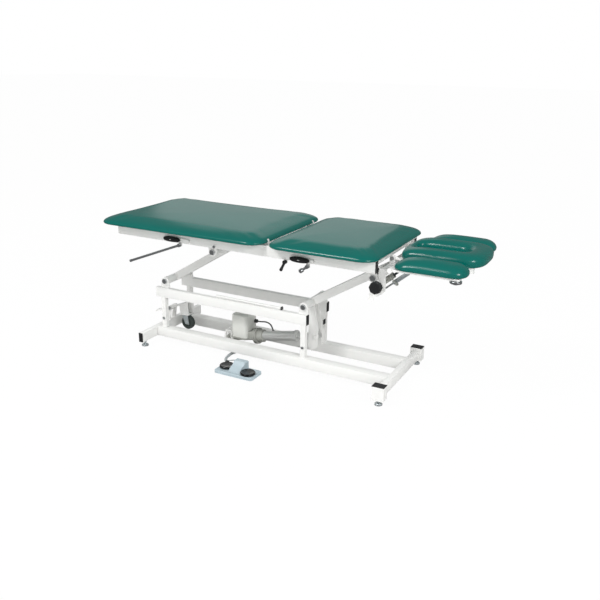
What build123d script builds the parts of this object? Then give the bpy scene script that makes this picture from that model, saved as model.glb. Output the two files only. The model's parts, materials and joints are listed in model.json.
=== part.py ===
from build123d import *
import math
import os

# Treatment table with a powered parallelogram lift and five upholstered pads.
# Frame: +X towards the head end, -Y towards the side with the controls, +Z up.
# Origin: middle of the footprint, on the floor. All lengths are millimetres.

# Overall sizes
table_length = 1890.0
pad_width = 685.0
pad_top_height = 708.0

# Steel sections
tube_width = 25.4
tube_height = 50.8
tube_wall = 2.0
rail_square = 50.8
post_square = 25.4
shaft_diameter = 40.0
shaft_wall = 4.0
arm_tube_width = 50.8
arm_tube_depth = 38.0
plate_thickness = 8.0
thin_plate = 5.0
fit_clearance = 0.05
side_gap = 1.0
soft_gap = 0.3
cut_overrun = 2.0

# Base
foot_tube_x = -766.0
foot_tube_length = 520.0
head_tube_x = 574.0
head_tube_length = 474.8
base_bottom_height = 29.0
base_rail_offset = 112.4
corner_post_length = 59.0
corner_post_width = 43.2
corner_post_bottom = 26.0
corner_post_height = 66.0
cap_thickness = 3.0
cap_overlap = 12.0
cap_fit = 0.1

# Levelling feet
leveller_pad_diameter = 36.0
leveller_pad_height = 9.0
leveller_stud_diameter = 10.0
leveller_nut_width = 17.0
leveller_nut_height = 6.0
leveller_inset = 31.0
leveller_hole_clearance = 0.05

# Uprights and mid rails
foot_post_x = -714.5
head_post_x = 119.2
mid_rail_bottom = 248.0
mid_rail_start = -761.0
mid_rail_end = 137.0
stop_tube_length = 70.0
stop_tube_height = 200.0

conduit_start = -388.0
conduit_end = -2.0
conduit_diameter = 13.0
conduit_offset = 7.0
conduit_saddle = 24.0

# Lift linkage
foot_pivot_x = -710.5
head_pivot_x = 112.5
lower_pivot_height = 334.0
arm_run = 396.0
arm_rise = 242.0
pivot_bolt_diameter = 16.0
pivot_bolt_head_width = 24.0
pivot_bolt_head_height = 10.0
bush_length = 16.0
lug_width = 52.0
lug_tip_radius = 22.0

# Lever plates and actuator
lever_pin_x = 139.0
lever_pin_height = 155.0
lever_plate_spacing = 34.0
lever_width = 50.0
lever_foot_height = 78.0
lever_pin_diameter = 12.0
rear_pin_x = -375.0
rear_pin_height = 53.0
rear_pin_diameter = 12.0
rear_slot_back = 7.5
rear_slot_front = 5.0
rear_slot_below = 4.0
rear_slot_above = 22.5
actuator_eye_width = 24.0
actuator_eye_radius = 13.5
actuator_tube_diameter = 50.0
actuator_tube_start = 196.6
actuator_tube_length = 214.0
actuator_tube_wall = 4.0
actuator_collar_diameter = 58.0
actuator_collar_length = 12.0
actuator_root_diameter = 66.0
actuator_root_length = 32.0
actuator_rod_diameter = 28.0
rod_clevis_length = 37.0
rod_clevis_height = 34.0
rod_clevis_width = 32.0
gearbox_length = 92.0
gearbox_height = 46.0
gearbox_width = 74.0
ring_gear_diameter = 84.0
ring_gear_length = 18.0
motor_width = 112.0
motor_length = 92.0
motor_height = 122.0
motor_corner = 18.0
motor_left = -335.0
motor_bottom = 80.0
motor_base_height = 8.0
motor_gland_height = 152.0
actuator_stroke_margin = 60.0
lead_boss_length = 16.0
bracket_plate = 6.0
bracket_channel_width = 76.0
bracket_channel_height = 18.0
bracket_top_height = 92.0

# Top frame
top_rail_start = -870.0
top_rail_end = 527.0
top_rail_inner = 236.0
top_rail_bottom = 603.0
top_rail_height = 50.8
pad_bottom_height = 660.0
top_cross_height = 30.0
top_cross_places = (-850.0, -640.0, -90.0, 220.0, 460.0)

# Pads
pad_corner_radius = 83.0
pad_thickness = 48.0
pad_top_roll = 52.0
pad_bottom_inset = 9.0
crown_taper = 75.0
cushion_shares = (
    (0.0, 1.0, 0.0), (0.17, 0.35, 0.0), (0.42, 0.0, 0.0), (0.62, 0.0, 0.13),
    (0.80, 0.0, 0.34), (0.93, 0.0, 0.68), (0.985, 0.0, 1.15),
)
section_gap = 18.0
leg_pad_end = -3.0
mid_pad_end = 551.5
head_pad_start = 582.0
head_pad_half_width = 150.0
head_pad_bottom = 648.0
head_pad_thickness = 55.0
head_pad_corner = 50.0
face_slot_width = 100.0
face_slot_end = 855.0
head_roll = 24.0
head_under_roll = 9.0
arm_pad_start = 600.0
arm_pad_end = 921.0
arm_pad_inner = 161.0
arm_pad_outer = 304.0
arm_pad_bottom = 640.0
arm_pad_thickness = 57.0
arm_pad_corner = 58.0

# Section frames and hinges
frame_tube = 25.0
frame_wall = 2.0
section_frame_half = 214.0
hinge_inset = 19.0
hinge_height = 668.0
hinge_pin_diameter = 12.0
hinge_ear_radius = 10.5
hinge_ear_thickness = 6.0
hinge_lug_thickness = 8.0
hinge_pin_head_diameter = 18.0
hinge_pin_head_length = 5.0
pocket_clearance = 3.0
frame_inset = 60.0
frame_back = 10.0
hinge_lug_inner = -216.0
pad_rest_places = (-820.0, -420.0, 70.0, 420.0)

# Head section
head_hinge_x = 554.0
head_hinge_height = 646.0
head_bar_inner = 96.0
head_bar_start = 584.0
lug_root_share = 0.66
lug_relief_share = 0.5
head_bar_end = 905.0
head_cross_places = (600.0, 872.0)
head_lug_thickness = 7.0
head_ear_thickness = 6.0
head_tip_radius = 12.0
end_cross_x = 552.5
end_cross_bottom = 594.0
end_plate_start = 500.0
lock_plate_rear = 566.0
clamp_x = 533.0
clamp_height = 543.0
lock_rod_pivot_x = 640.0
lock_rod_pivot_height = 634.6
lock_rod_diameter = 10.0
lock_rod_tail = 32.0
clamp_sleeve_diameter = 26.0
clamp_sleeve_tail = 15.0
clamp_sleeve_length = 62.0
clamp_spindle_diameter = 16.0
rod_plane = 140.0
knob_width = 52.0
knob_thickness = 24.0
knob_gap = 1.0
clamp_lever_diameter = 6.0
clamp_hub_thickness = 8.0
clamp_lever_length = 40.0
ball_diameter = 15.0
spring_low_x = 502.0
spring_low_height = 481.0
low_lug_radius = 13.0
spring_top_x = 660.0
spring_top_height = 614.0
spring_rod_diameter = 8.0
spring_body_diameter = 19.0
spring_body_length = 112.0
spring_eye_width = 12.0
spring_eye_radius = 9.0
spring_pin_diameter = 8.0
spring_slot_reach = 9.0
spring_reserve = 4.0
spring_engagement = 57.0
spring_pin_reach = 10.0
clamp_bore_clearance = 3.0
clamp_lever_run_share = 0.15
lever_place_share = 0.8
knob_hub_length = 14.0

# Arm rests
arm_hinge_x = 600.0
arm_hinge_height = 634.0
arm_hinge_diameter = 12.0
arm_boss_diameter = 24.0
arm_bar_inner = 245.0
arm_bar_width = 40.0
arm_bar_thickness = 8.0
arm_bar_end = 892.0
arm_knob_x = 875.0
arm_knob_diameter = 50.0
arm_knob_height = 12.0
arm_knob_stud = 10.0
arm_knob_offset = 5.0

# Handles on the control side
leg_paddle_x = -528.0
mid_paddle_x = 171.0
paddle_length = 98.0
paddle_height = 26.0
paddle_thickness = 20.0
paddle_spindle_diameter = 12.0
paddle_level = 620.0
mid_paddle_level = 616.0
leg_paddle_arm = 92.0
mid_paddle_arm = 61.0
paddle_bar_thickness = 5.0
paddle_bar_width = 16.0
leg_rod_x = -486.0
leg_rod_drop = 123.0
leg_rod_run = 313.0
leg_rod_tip = 14.0
release_rod_diameter = 12.0
tab_drop = 9.0
tab_thickness = 5.0
mid_hub_drop = 14.0
ball_lever_x = 96.0
ball_lever_drop = 43.0
ball_lever_run = 21.0
short_rod_x = 209.0
short_rod_drop = 28.0
short_rod_run = 37.0
short_rod_knob = 20.0
lever_hub_diameter = 18.0
lever_hub_length = 14.0
grip_chamfer_share = 0.15

# Retractable caster
caster_pivot_x = -754.0
caster_pivot_height = 151.0
caster_arm_width = 40.0
caster_arm_thickness = 8.0
caster_arm_reach = 119.0
caster_arm_rise = 47.0
caster_tongue_reach = 104.0
caster_tongue_drop = 37.0
caster_stem_x = -659.0
caster_plate_height = 132.0
caster_plate_size = 56.0
caster_wheel_diameter = 76.0
caster_wheel_width = 24.0
caster_wheel_x = -649.0
caster_wheel_height = 80.0
caster_axle_diameter = 8.0
caster_fork_plate = 3.0
caster_fork_gap = 3.0

# Foot switch
switch_left = -254.0
switch_right = -40.0
switch_front = -341.5
switch_back = -237.0
switch_plate_height = 18.0
switch_plate_lift = 3.0
switch_hump_height = 60.0
switch_hump_width = 66.0
hump_front_share = 0.6
hump_knee_share = 0.72
hump_top_share = 0.55
switch_corner = 14.0
pedal_diameter = 74.0
pedal_height = 10.0
pedal_gap = 4.0
pedal_reach = 20.0
gland_diameter = 20.0
gland_length = 16.0
pedal_place = 66.0
pedal_stagger = 11.0
pedal_forward = 5.0
pedal_stem_diameter = 22.0
pedal_stem_depth = 10.0
pedal_travel = 3.0
dish_radius = 160.0
dish_depth = 3.0

# Free leads
sleeve_diameter = 14.0
cable_diameter = 5.0
motor_lead_diameter = 7.0
lead_arc_share = 0.45
lead_route = [
    (-227.0, 34.0, 152.0), (-206.0, 34.3, 152.8), (-182.0, 35.5, 157.5), (-158.0, 37.5, 152.0),
    (-143.0, 39.0, 135.0), (-137.0, 40.0, 114.0),
]
sleeve_route = [
    (-248.0, -230.0, 17.0), (-270.0, -210.0, 13.0), (-287.0, -182.0, 9.5), (-297.0, -148.0, 7.5),
    (-300.0, -110.0, 7.5), (-288.0, -74.0, 8.0), (-258.0, -50.0, 11.0), (-222.0, -47.0, 22.0),
    (-200.0, -57.0, 37.0), (-194.0, -71.0, 45.0),
]
cable_route = [
    (-240.0, -233.0, 27.0), (-222.0, -226.0, 31.0), (-198.0, -221.0, 34.0), (-170.0, -219.0, 36.0),
    (-144.0, -221.0, 38.0), (-128.0, -230.0, 40.0), (-124.0, -242.0, 40.0),
]


# Values worked out from the sizes above
leg_pad_start = -table_length / 2
head_pad_end = table_length / 2
pad_half = pad_width / 2
base_top = base_bottom_height + rail_square
mid_rail_top = mid_rail_bottom + tube_height
mid_rail_inner = base_rail_offset - post_square / 2
mid_rail_outer = mid_rail_inner + tube_width
top_rail_top = top_rail_bottom + top_rail_height
top_rail_outer = top_rail_inner + tube_width
upper_pivot_height = lower_pivot_height + arm_rise
foot_upper_x = foot_pivot_x + arm_run
head_upper_x = head_pivot_x + arm_run
lower_shaft_half = mid_rail_inner - side_gap
upper_shaft_half = top_rail_inner - plate_thickness - side_gap
mid_pad_start = leg_pad_end + section_gap
leg_hinge_x = leg_pad_end - hinge_inset
mid_hinge_x = mid_pad_end - hinge_inset
switch_mid_x = (switch_left + switch_right) / 2


def block(x0, x1, y0, y1, z0, z1):
    """A box between two corners."""
    size = Box(abs(x1 - x0), abs(y1 - y0), abs(z1 - z0))
    return Pos((x0 + x1) / 2, (y0 + y1) / 2, (z0 + z1) / 2) * size


def bar(start, end, radius):
    """A round bar from one point to another."""
    path = Line(start, end)
    plane = Plane(origin=start, z_dir=path % 0)
    return extrude(plane * Circle(radius), amount=path.length)


def pipe(start, end, radius, bore):
    """A round tube from one point to another."""
    path = Line(start, end)
    plane = Plane(origin=start, z_dir=path % 0)
    return extrude(plane * (Circle(radius) - Circle(bore)), amount=path.length)


def tube_along_x(x0, x1, y_mid, z0, width, height, wall):
    """A rectangular tube along X, open at both ends."""
    outer = block(x0, x1, y_mid - width / 2, y_mid + width / 2, z0, z0 + height)
    inner = block(
        x0 - cut_overrun, x1 + cut_overrun,
        y_mid - width / 2 + wall, y_mid + width / 2 - wall,
        z0 + wall, z0 + height - wall,
    )
    return outer - inner


def tube_along_y(x_mid, y0, y1, z0, width, height, wall):
    """A rectangular tube along Y, open at both ends."""
    outer = block(x_mid - width / 2, x_mid + width / 2, y0, y1, z0, z0 + height)
    inner = block(
        x_mid - width / 2 + wall, x_mid + width / 2 - wall,
        y0 - cut_overrun, y1 + cut_overrun,
        z0 + wall, z0 + height - wall,
    )
    return outer - inner


def tube_along_z(x_mid, y_mid, z0, z1, width, depth, wall):
    """A rectangular tube along Z, open at both ends."""
    outer = block(
        x_mid - width / 2, x_mid + width / 2, y_mid - depth / 2, y_mid + depth / 2, z0, z1
    )
    inner = block(
        x_mid - width / 2 + wall, x_mid + width / 2 - wall,
        y_mid - depth / 2 + wall, y_mid + depth / 2 - wall,
        z0 - cut_overrun, z1 + cut_overrun,
    )
    return outer - inner


def side_plate(points, y0, y1):
    """A flat plate in the XZ plane, from its outline, between two places in Y."""
    outline = make_face(Polyline(*[(x, z) for x, z in points], close=True))
    plate = extrude(Plane.XZ * outline, amount=y1 - y0, dir=(0, 1, 0))
    return Pos(0, y0, 0) * plate


def hexagon_head(x, y0, y1, z, width):
    """A hexagonal bolt head along Y."""
    outline = Plane.XZ * RegularPolygon(width / 2, 6, major_radius=False)
    return Pos(x, y0, z) * extrude(outline, amount=y1 - y0, dir=(0, 1, 0))


def mirror_y(shape):
    """The same shape on the other side of the table."""
    return mirror(shape, about=Plane.XZ)


def both_sides(shape):
    """A piece and its mirror image."""
    return [shape, mirror_y(shape)]


parts = {}


def keep(name, *solids):
    """Store the solids of one named piece."""
    flat = []
    for item in solids:
        flat.extend(item if isinstance(item, list) else [item])
    parts[name] = flat


def base_frame():
    """The welded floor frame: cross tubes, long rails, posts and mid rails."""
    foot_tube = tube_along_y(
        foot_tube_x, -foot_tube_length / 2, foot_tube_length / 2, base_bottom_height,
        tube_width, rail_square, tube_wall,
    )
    head_tube = tube_along_y(
        head_tube_x, -head_tube_length / 2, head_tube_length / 2, base_bottom_height,
        tube_width, rail_square, tube_wall,
    )
    stud_hole = leveller_stud_diameter / 2 + leveller_hole_clearance
    for side in (-1, 1):
        place = side * (foot_tube_length / 2 - leveller_inset)
        low = (foot_tube_x, place, base_bottom_height - cut_overrun)
        foot_tube -= bar(low, (foot_tube_x, place, base_bottom_height + tube_wall + cut_overrun), stud_hole)
    keep("base_cross_tubes", foot_tube, head_tube)

    rail = tube_along_x(
        foot_tube_x + tube_width / 2, head_tube_x - tube_width / 2, -base_rail_offset,
        base_bottom_height, rail_square, rail_square, tube_wall,
    )
    keep("base_rails", both_sides(rail))

    corner_y = -(head_tube_length / 2 + corner_post_width / 2)
    corner_top = corner_post_bottom + corner_post_height
    corner = block(
        head_tube_x - corner_post_length / 2, head_tube_x + corner_post_length / 2,
        corner_y - corner_post_width / 2, corner_y + corner_post_width / 2,
        corner_post_bottom, corner_top,
    )
    corner -= block(
        head_tube_x - corner_post_length / 2 + tube_wall,
        head_tube_x + corner_post_length / 2 - tube_wall,
        corner_y - corner_post_width / 2 + tube_wall,
        corner_y + corner_post_width / 2 - tube_wall,
        corner_post_bottom + tube_wall, corner_top + cut_overrun,
    )
    corner -= bar(
        (head_tube_x, corner_y, corner_post_bottom - cut_overrun),
        (head_tube_x, corner_y, corner_post_bottom + tube_wall + cut_overrun), stud_hole,
    )
    posts = []
    for x in (foot_post_x, head_post_x):
        posts += both_sides(
            tube_along_z(
                x, -base_rail_offset, base_top, mid_rail_bottom, post_square, post_square, tube_wall
            )
        )
    stop_y = mid_rail_inner - post_square / 2
    stop = tube_along_x(
        head_post_x + post_square / 2 - stop_tube_length, head_post_x + post_square / 2, stop_y,
        stop_tube_height - post_square / 2, post_square, post_square, tube_wall,
    )
    keep("base_posts", both_sides(corner), posts, stop)

    mid_rail = tube_along_x(
        mid_rail_start, mid_rail_end, -(mid_rail_inner + tube_width / 2), mid_rail_bottom,
        tube_width, tube_height, tube_wall,
    )
    mid_rail += block(
        mid_rail_start, mid_rail_start + tube_wall, -mid_rail_outer, -mid_rail_inner,
        mid_rail_bottom, mid_rail_top,
    )
    keep("mid_rails", both_sides(mid_rail))


def end_cap_x(x, y_mid, z0, width, height, wall):
    """A plastic cap in a tube's end, facing +X."""
    face = block(x, x + cap_thickness, y_mid - width / 2, y_mid + width / 2, z0, z0 + height)
    face = fillet(face.faces().sort_by(Axis.X)[-1].edges(), radius=cap_thickness / 2)
    spigot = block(
        x - cap_overlap, x, y_mid - width / 2 + wall + cap_fit, y_mid + width / 2 - wall - cap_fit,
        z0 + wall + cap_fit, z0 + height - wall - cap_fit,
    )
    return face + spigot


def end_cap_y(x_mid, y, z0, width, height, wall):
    """A plastic cap in a tube's end, facing -Y."""
    face = block(x_mid - width / 2, x_mid + width / 2, y - cap_thickness, y, z0, z0 + height)
    face = fillet(face.faces().sort_by(Axis.Y)[0].edges(), radius=cap_thickness / 2)
    spigot = block(
        x_mid - width / 2 + wall + cap_fit, x_mid + width / 2 - wall - cap_fit, y, y + cap_overlap,
        z0 + wall + cap_fit, z0 + height - wall - cap_fit,
    )
    return face + spigot


def base_caps():
    """Black caps of the floor frame."""
    foot_caps = both_sides(
        end_cap_y(
            foot_tube_x, -foot_tube_length / 2, base_bottom_height, tube_width, rail_square, tube_wall
        )
    )
    mid_caps = both_sides(
        end_cap_x(
            mid_rail_end, -(mid_rail_inner + tube_width / 2), mid_rail_bottom,
            tube_width, tube_height, tube_wall,
        )
    )
    stop_cap = end_cap_x(
        head_post_x + post_square / 2, mid_rail_inner - post_square / 2,
        stop_tube_height - post_square / 2, post_square, post_square, tube_wall,
    )
    corner_y = -(head_tube_length / 2 + corner_post_width / 2)
    corner_top = corner_post_bottom + corner_post_height
    lid = block(
        head_tube_x - corner_post_length / 2, head_tube_x + corner_post_length / 2,
        corner_y - corner_post_width / 2, corner_y + corner_post_width / 2,
        corner_top, corner_top + cap_thickness,
    )
    lid = fillet(lid.faces().sort_by(Axis.Z)[-1].edges(), radius=cap_thickness / 2)
    lid += block(
        head_tube_x - corner_post_length / 2 + tube_wall + cap_fit,
        head_tube_x + corner_post_length / 2 - tube_wall - cap_fit,
        corner_y - corner_post_width / 2 + tube_wall + cap_fit,
        corner_y + corner_post_width / 2 - tube_wall - cap_fit,
        corner_top - cap_overlap, corner_top,
    )
    keep("base_end_caps", foot_caps, mid_caps, stop_cap, both_sides(lid))


def leveller(name, x, y, seat):
    """A round foot on a threaded stud, screwed up into the frame."""
    pad = Pos(x, y, leveller_pad_height / 2) * Cylinder(leveller_pad_diameter / 2, leveller_pad_height)
    pad = chamfer(pad.edges().group_by(Axis.Z)[-1], length=leveller_pad_height / 3)
    stud = bar(
        (x, y, leveller_pad_height), (x, y, seat + cap_overlap), leveller_stud_diameter / 2
    )
    nut = extrude(
        Pos(x, y, seat - leveller_nut_height - soft_gap)
        * RegularPolygon(leveller_nut_width / 2, 6, major_radius=False),
        amount=leveller_nut_height,
    )
    keep(name, pad + stud + nut)


def levellers():
    """The four feet."""
    foot_y = foot_tube_length / 2 - leveller_inset
    head_y = head_tube_length / 2 + corner_post_width / 2
    leveller("leveller_foot_right", foot_tube_x, -foot_y, base_bottom_height)
    leveller("leveller_foot_left", foot_tube_x, foot_y, base_bottom_height)
    leveller("leveller_head_right", head_tube_x, -head_y, corner_post_bottom)
    leveller("leveller_head_left", head_tube_x, head_y, corner_post_bottom)


def lug(x, seat, tip, y0, y1, hole):
    """A pivot lug that narrows to a round tip round its hole."""
    y_mid = (y0 + y1) / 2
    disc = bar((x, y0, tip), (x, y1, tip), lug_tip_radius)
    foot = side_plate(
        [(x - lug_width / 2, seat), (x + lug_width / 2, seat), (x + lug_tip_radius, tip),
         (x - lug_tip_radius, tip)], y0, y1,
    )
    drill = bar((x, y_mid - lug_width, tip), (x, y_mid + lug_width, tip), hole)
    return foot + disc - drill


def pivot_bolt(x, z, y_outer, y_inner):
    """A hex bolt whose head lies outside y_outer and whose shank reaches y_inner."""
    head = hexagon_head(x, y_outer - pivot_bolt_head_height, y_outer, z, pivot_bolt_head_width)
    shank = bar((x, y_outer, z), (x, y_inner, z), pivot_bolt_diameter / 2)
    return head + shank


def base_pivots():
    """Lugs on the mid rails with their bolts, and the bracket of the caster arm."""
    outer = -(mid_rail_inner + plate_thickness)
    lugs = []
    bolts = []
    for x in (foot_pivot_x, head_pivot_x):
        one = lug(x, mid_rail_top, lower_pivot_height, outer, -mid_rail_inner, pivot_bolt_diameter / 2)
        lugs += both_sides(one)
        inner = -(lower_shaft_half - bush_length)
        bolts += both_sides(pivot_bolt(x, lower_pivot_height, outer, inner))
    ear_y = caster_arm_width / 2 + side_gap
    ear = side_plate(
        [(foot_tube_x - tube_width / 2, base_top), (foot_tube_x + tube_width / 2, base_top),
         (caster_pivot_x + lug_tip_radius / 2, caster_pivot_height),
         (caster_pivot_x - lug_tip_radius / 2, caster_pivot_height)],
        -(ear_y + thin_plate), -ear_y,
    )
    ear += bar(
        (caster_pivot_x, -(ear_y + thin_plate), caster_pivot_height),
        (caster_pivot_x, -ear_y, caster_pivot_height), lug_tip_radius / 2,
    )
    ear -= bar(
        (caster_pivot_x, -ear_y - lug_width, caster_pivot_height),
        (caster_pivot_x, lug_width, caster_pivot_height), lever_pin_diameter / 2,
    )
    keep("base_brackets", lugs, both_sides(ear))
    pin_head = ear_y + thin_plate
    pin = bar(
        (caster_pivot_x, -pin_head, caster_pivot_height),
        (caster_pivot_x, pin_head, caster_pivot_height), lever_pin_diameter / 2,
    )
    pin += both_heads(caster_pivot_x, caster_pivot_height, pin_head, lever_pin_diameter)
    post_bolts = []
    for x in (foot_post_x, head_post_x):
        face = -(base_rail_offset + post_square / 2)
        post_bolts += both_sides(
            hexagon_head(x, face - thin_plate, face, base_top + lug_width, pivot_bolt_head_width / 2)
        )
    keep("base_bolts", bolts, pin, post_bolts)


def both_heads(x, z, half_length, diameter):
    """The two heads of a cross pin."""
    width = diameter * pivot_bolt_head_width / pivot_bolt_diameter
    depth = diameter * pivot_bolt_head_height / pivot_bolt_diameter
    near = hexagon_head(x, -half_length - depth, -half_length, z, width)
    far = hexagon_head(x, half_length, half_length + depth, z, width)
    return near + far


def actuator_bracket():
    """The cross channel between the long rails, with two slotted cheeks."""
    rail_inner = base_rail_offset - rail_square / 2
    channel = block(
        rear_pin_x - bracket_channel_width / 2, rear_pin_x + bracket_channel_width / 2,
        -rail_inner, rail_inner, base_bottom_height, base_bottom_height + bracket_plate,
    )
    for side in (-1, 1):
        edge = rear_pin_x + side * (bracket_channel_width / 2 - bracket_plate / 2)
        channel += block(
            edge - bracket_plate / 2, edge + bracket_plate / 2, -rail_inner, rail_inner,
            base_bottom_height, base_bottom_height + bracket_channel_height - bracket_plate,
        )
    cheek_inner = actuator_eye_width / 2 + side_gap
    half = rear_pin_diameter / 2
    bottom = base_bottom_height + bracket_plate
    cheek = side_plate(
        [(rear_pin_x - bracket_channel_width / 2 + bracket_plate, bottom),
         (rear_pin_x + bracket_channel_width / 2 - bracket_plate, bottom),
         (rear_pin_x + rear_slot_front + rear_pin_diameter, bracket_top_height),
         (rear_pin_x - rear_slot_back - rear_pin_diameter, bracket_top_height)],
        -(cheek_inner + bracket_plate), -cheek_inner,
    )
    slot = block(
        rear_pin_x - rear_slot_back - half, rear_pin_x + rear_slot_front + half,
        -lug_width, lug_width,
        rear_pin_height - rear_slot_below - half, rear_pin_height + rear_slot_above + half,
    )
    slot = fillet(slot.edges().filter_by(Axis.Y), radius=half * 0.8)
    cheek -= slot
    keep("actuator_bracket", channel + cheek + mirror_y(cheek))


def conduit_tube():
    """A thin tube along the top of the near mid rail, plugged at its head end."""
    y = -(mid_rail_inner + tube_width / 2) + conduit_offset
    z = mid_rail_top + conduit_diameter / 2
    radius = conduit_diameter / 2
    tube = pipe((conduit_start, y, z), (conduit_end, y, z), radius, radius - tube_wall / 2)
    for place in (conduit_start + conduit_saddle, conduit_end - conduit_saddle):
        saddle = block(
            place - conduit_saddle / 4, place + conduit_saddle / 4, y - conduit_diameter / 2,
            y + conduit_diameter / 2, mid_rail_top, z,
        )
        tube += saddle - bar((place - conduit_saddle, y, z), (place + conduit_saddle, y, z), radius)
    keep("conduit_tube", tube)


def lift_arm(name, x0, x1):
    """A central tube between a lower and an upper cross shaft."""
    low = (x0, lower_pivot_height)
    high = (x1, upper_pivot_height)
    shafts = []
    for (x, z), half in ((low, lower_shaft_half), (high, upper_shaft_half)):
        shaft = pipe((x, -half, z), (x, half, z), shaft_diameter / 2, shaft_diameter / 2 - shaft_wall)
        for side in (-1, 1):
            shaft += pipe(
                (x, side * (half - bush_length), z), (x, side * half, z),
                shaft_diameter / 2 - shaft_wall / 2, pivot_bolt_diameter / 2 + fit_clearance,
            )
        shafts.append(shaft)
    angle = math.degrees(math.atan2(arm_rise, arm_run))
    length = math.hypot(arm_run, arm_rise)
    tube = tube_along_x(0, length, 0, -arm_tube_depth / 2, arm_tube_width, arm_tube_depth, tube_wall)
    tube = Pos(x0, 0, lower_pivot_height) * Rot(0, -angle, 0) * tube
    for x, z in (low, high):
        tube -= bar((x, -arm_tube_width, z), (x, arm_tube_width, z), shaft_diameter / 2)
    keep(name, tube, shafts)


def lever_plates():
    """Two lever plates under the head arm's lower shaft, and the pin for the actuator."""
    x = head_pivot_x
    z = lower_pivot_height
    half = lever_width / 2
    tip_z = lever_pin_height
    outline = [
        (x - shaft_diameter / 2, z), (x - half / 2, tip_z + half * 3),
        (x - half / 2, lever_foot_height + half), (x + half / 4, lever_foot_height),
        (lever_pin_x + half / 2, lever_foot_height + half),
        (lever_pin_x + half / 2, tip_z + half * 2),
        (x + shaft_diameter / 2, z - shaft_diameter / 2), (x, z),
    ]
    inner = lever_plate_spacing / 2
    plate = side_plate(outline, -(inner + plate_thickness), -inner)
    plate -= bar((x, -lug_width, z), (x, lug_width, z), shaft_diameter / 2)
    plate -= bar(
        (lever_pin_x, -lug_width, lever_pin_height), (lever_pin_x, lug_width, lever_pin_height),
        lever_pin_diameter / 2,
    )
    reach = inner + plate_thickness
    pin = bar(
        (lever_pin_x, -reach, lever_pin_height), (lever_pin_x, reach, lever_pin_height),
        lever_pin_diameter / 2,
    )
    pin += both_heads(lever_pin_x, lever_pin_height, reach, lever_pin_diameter)
    keep("lever_plates", both_sides(plate), pin)


actuator_angle = math.degrees(math.atan2(lever_pin_height - rear_pin_height, lever_pin_x - rear_pin_x))
actuator_length = math.hypot(lever_pin_height - rear_pin_height, lever_pin_x - rear_pin_x)


def on_actuator(shape):
    """Move a shape drawn along +X from the rear pin onto the actuator's axis."""
    return Pos(rear_pin_x, 0, rear_pin_height) * Rot(0, -actuator_angle, 0) * shape


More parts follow.
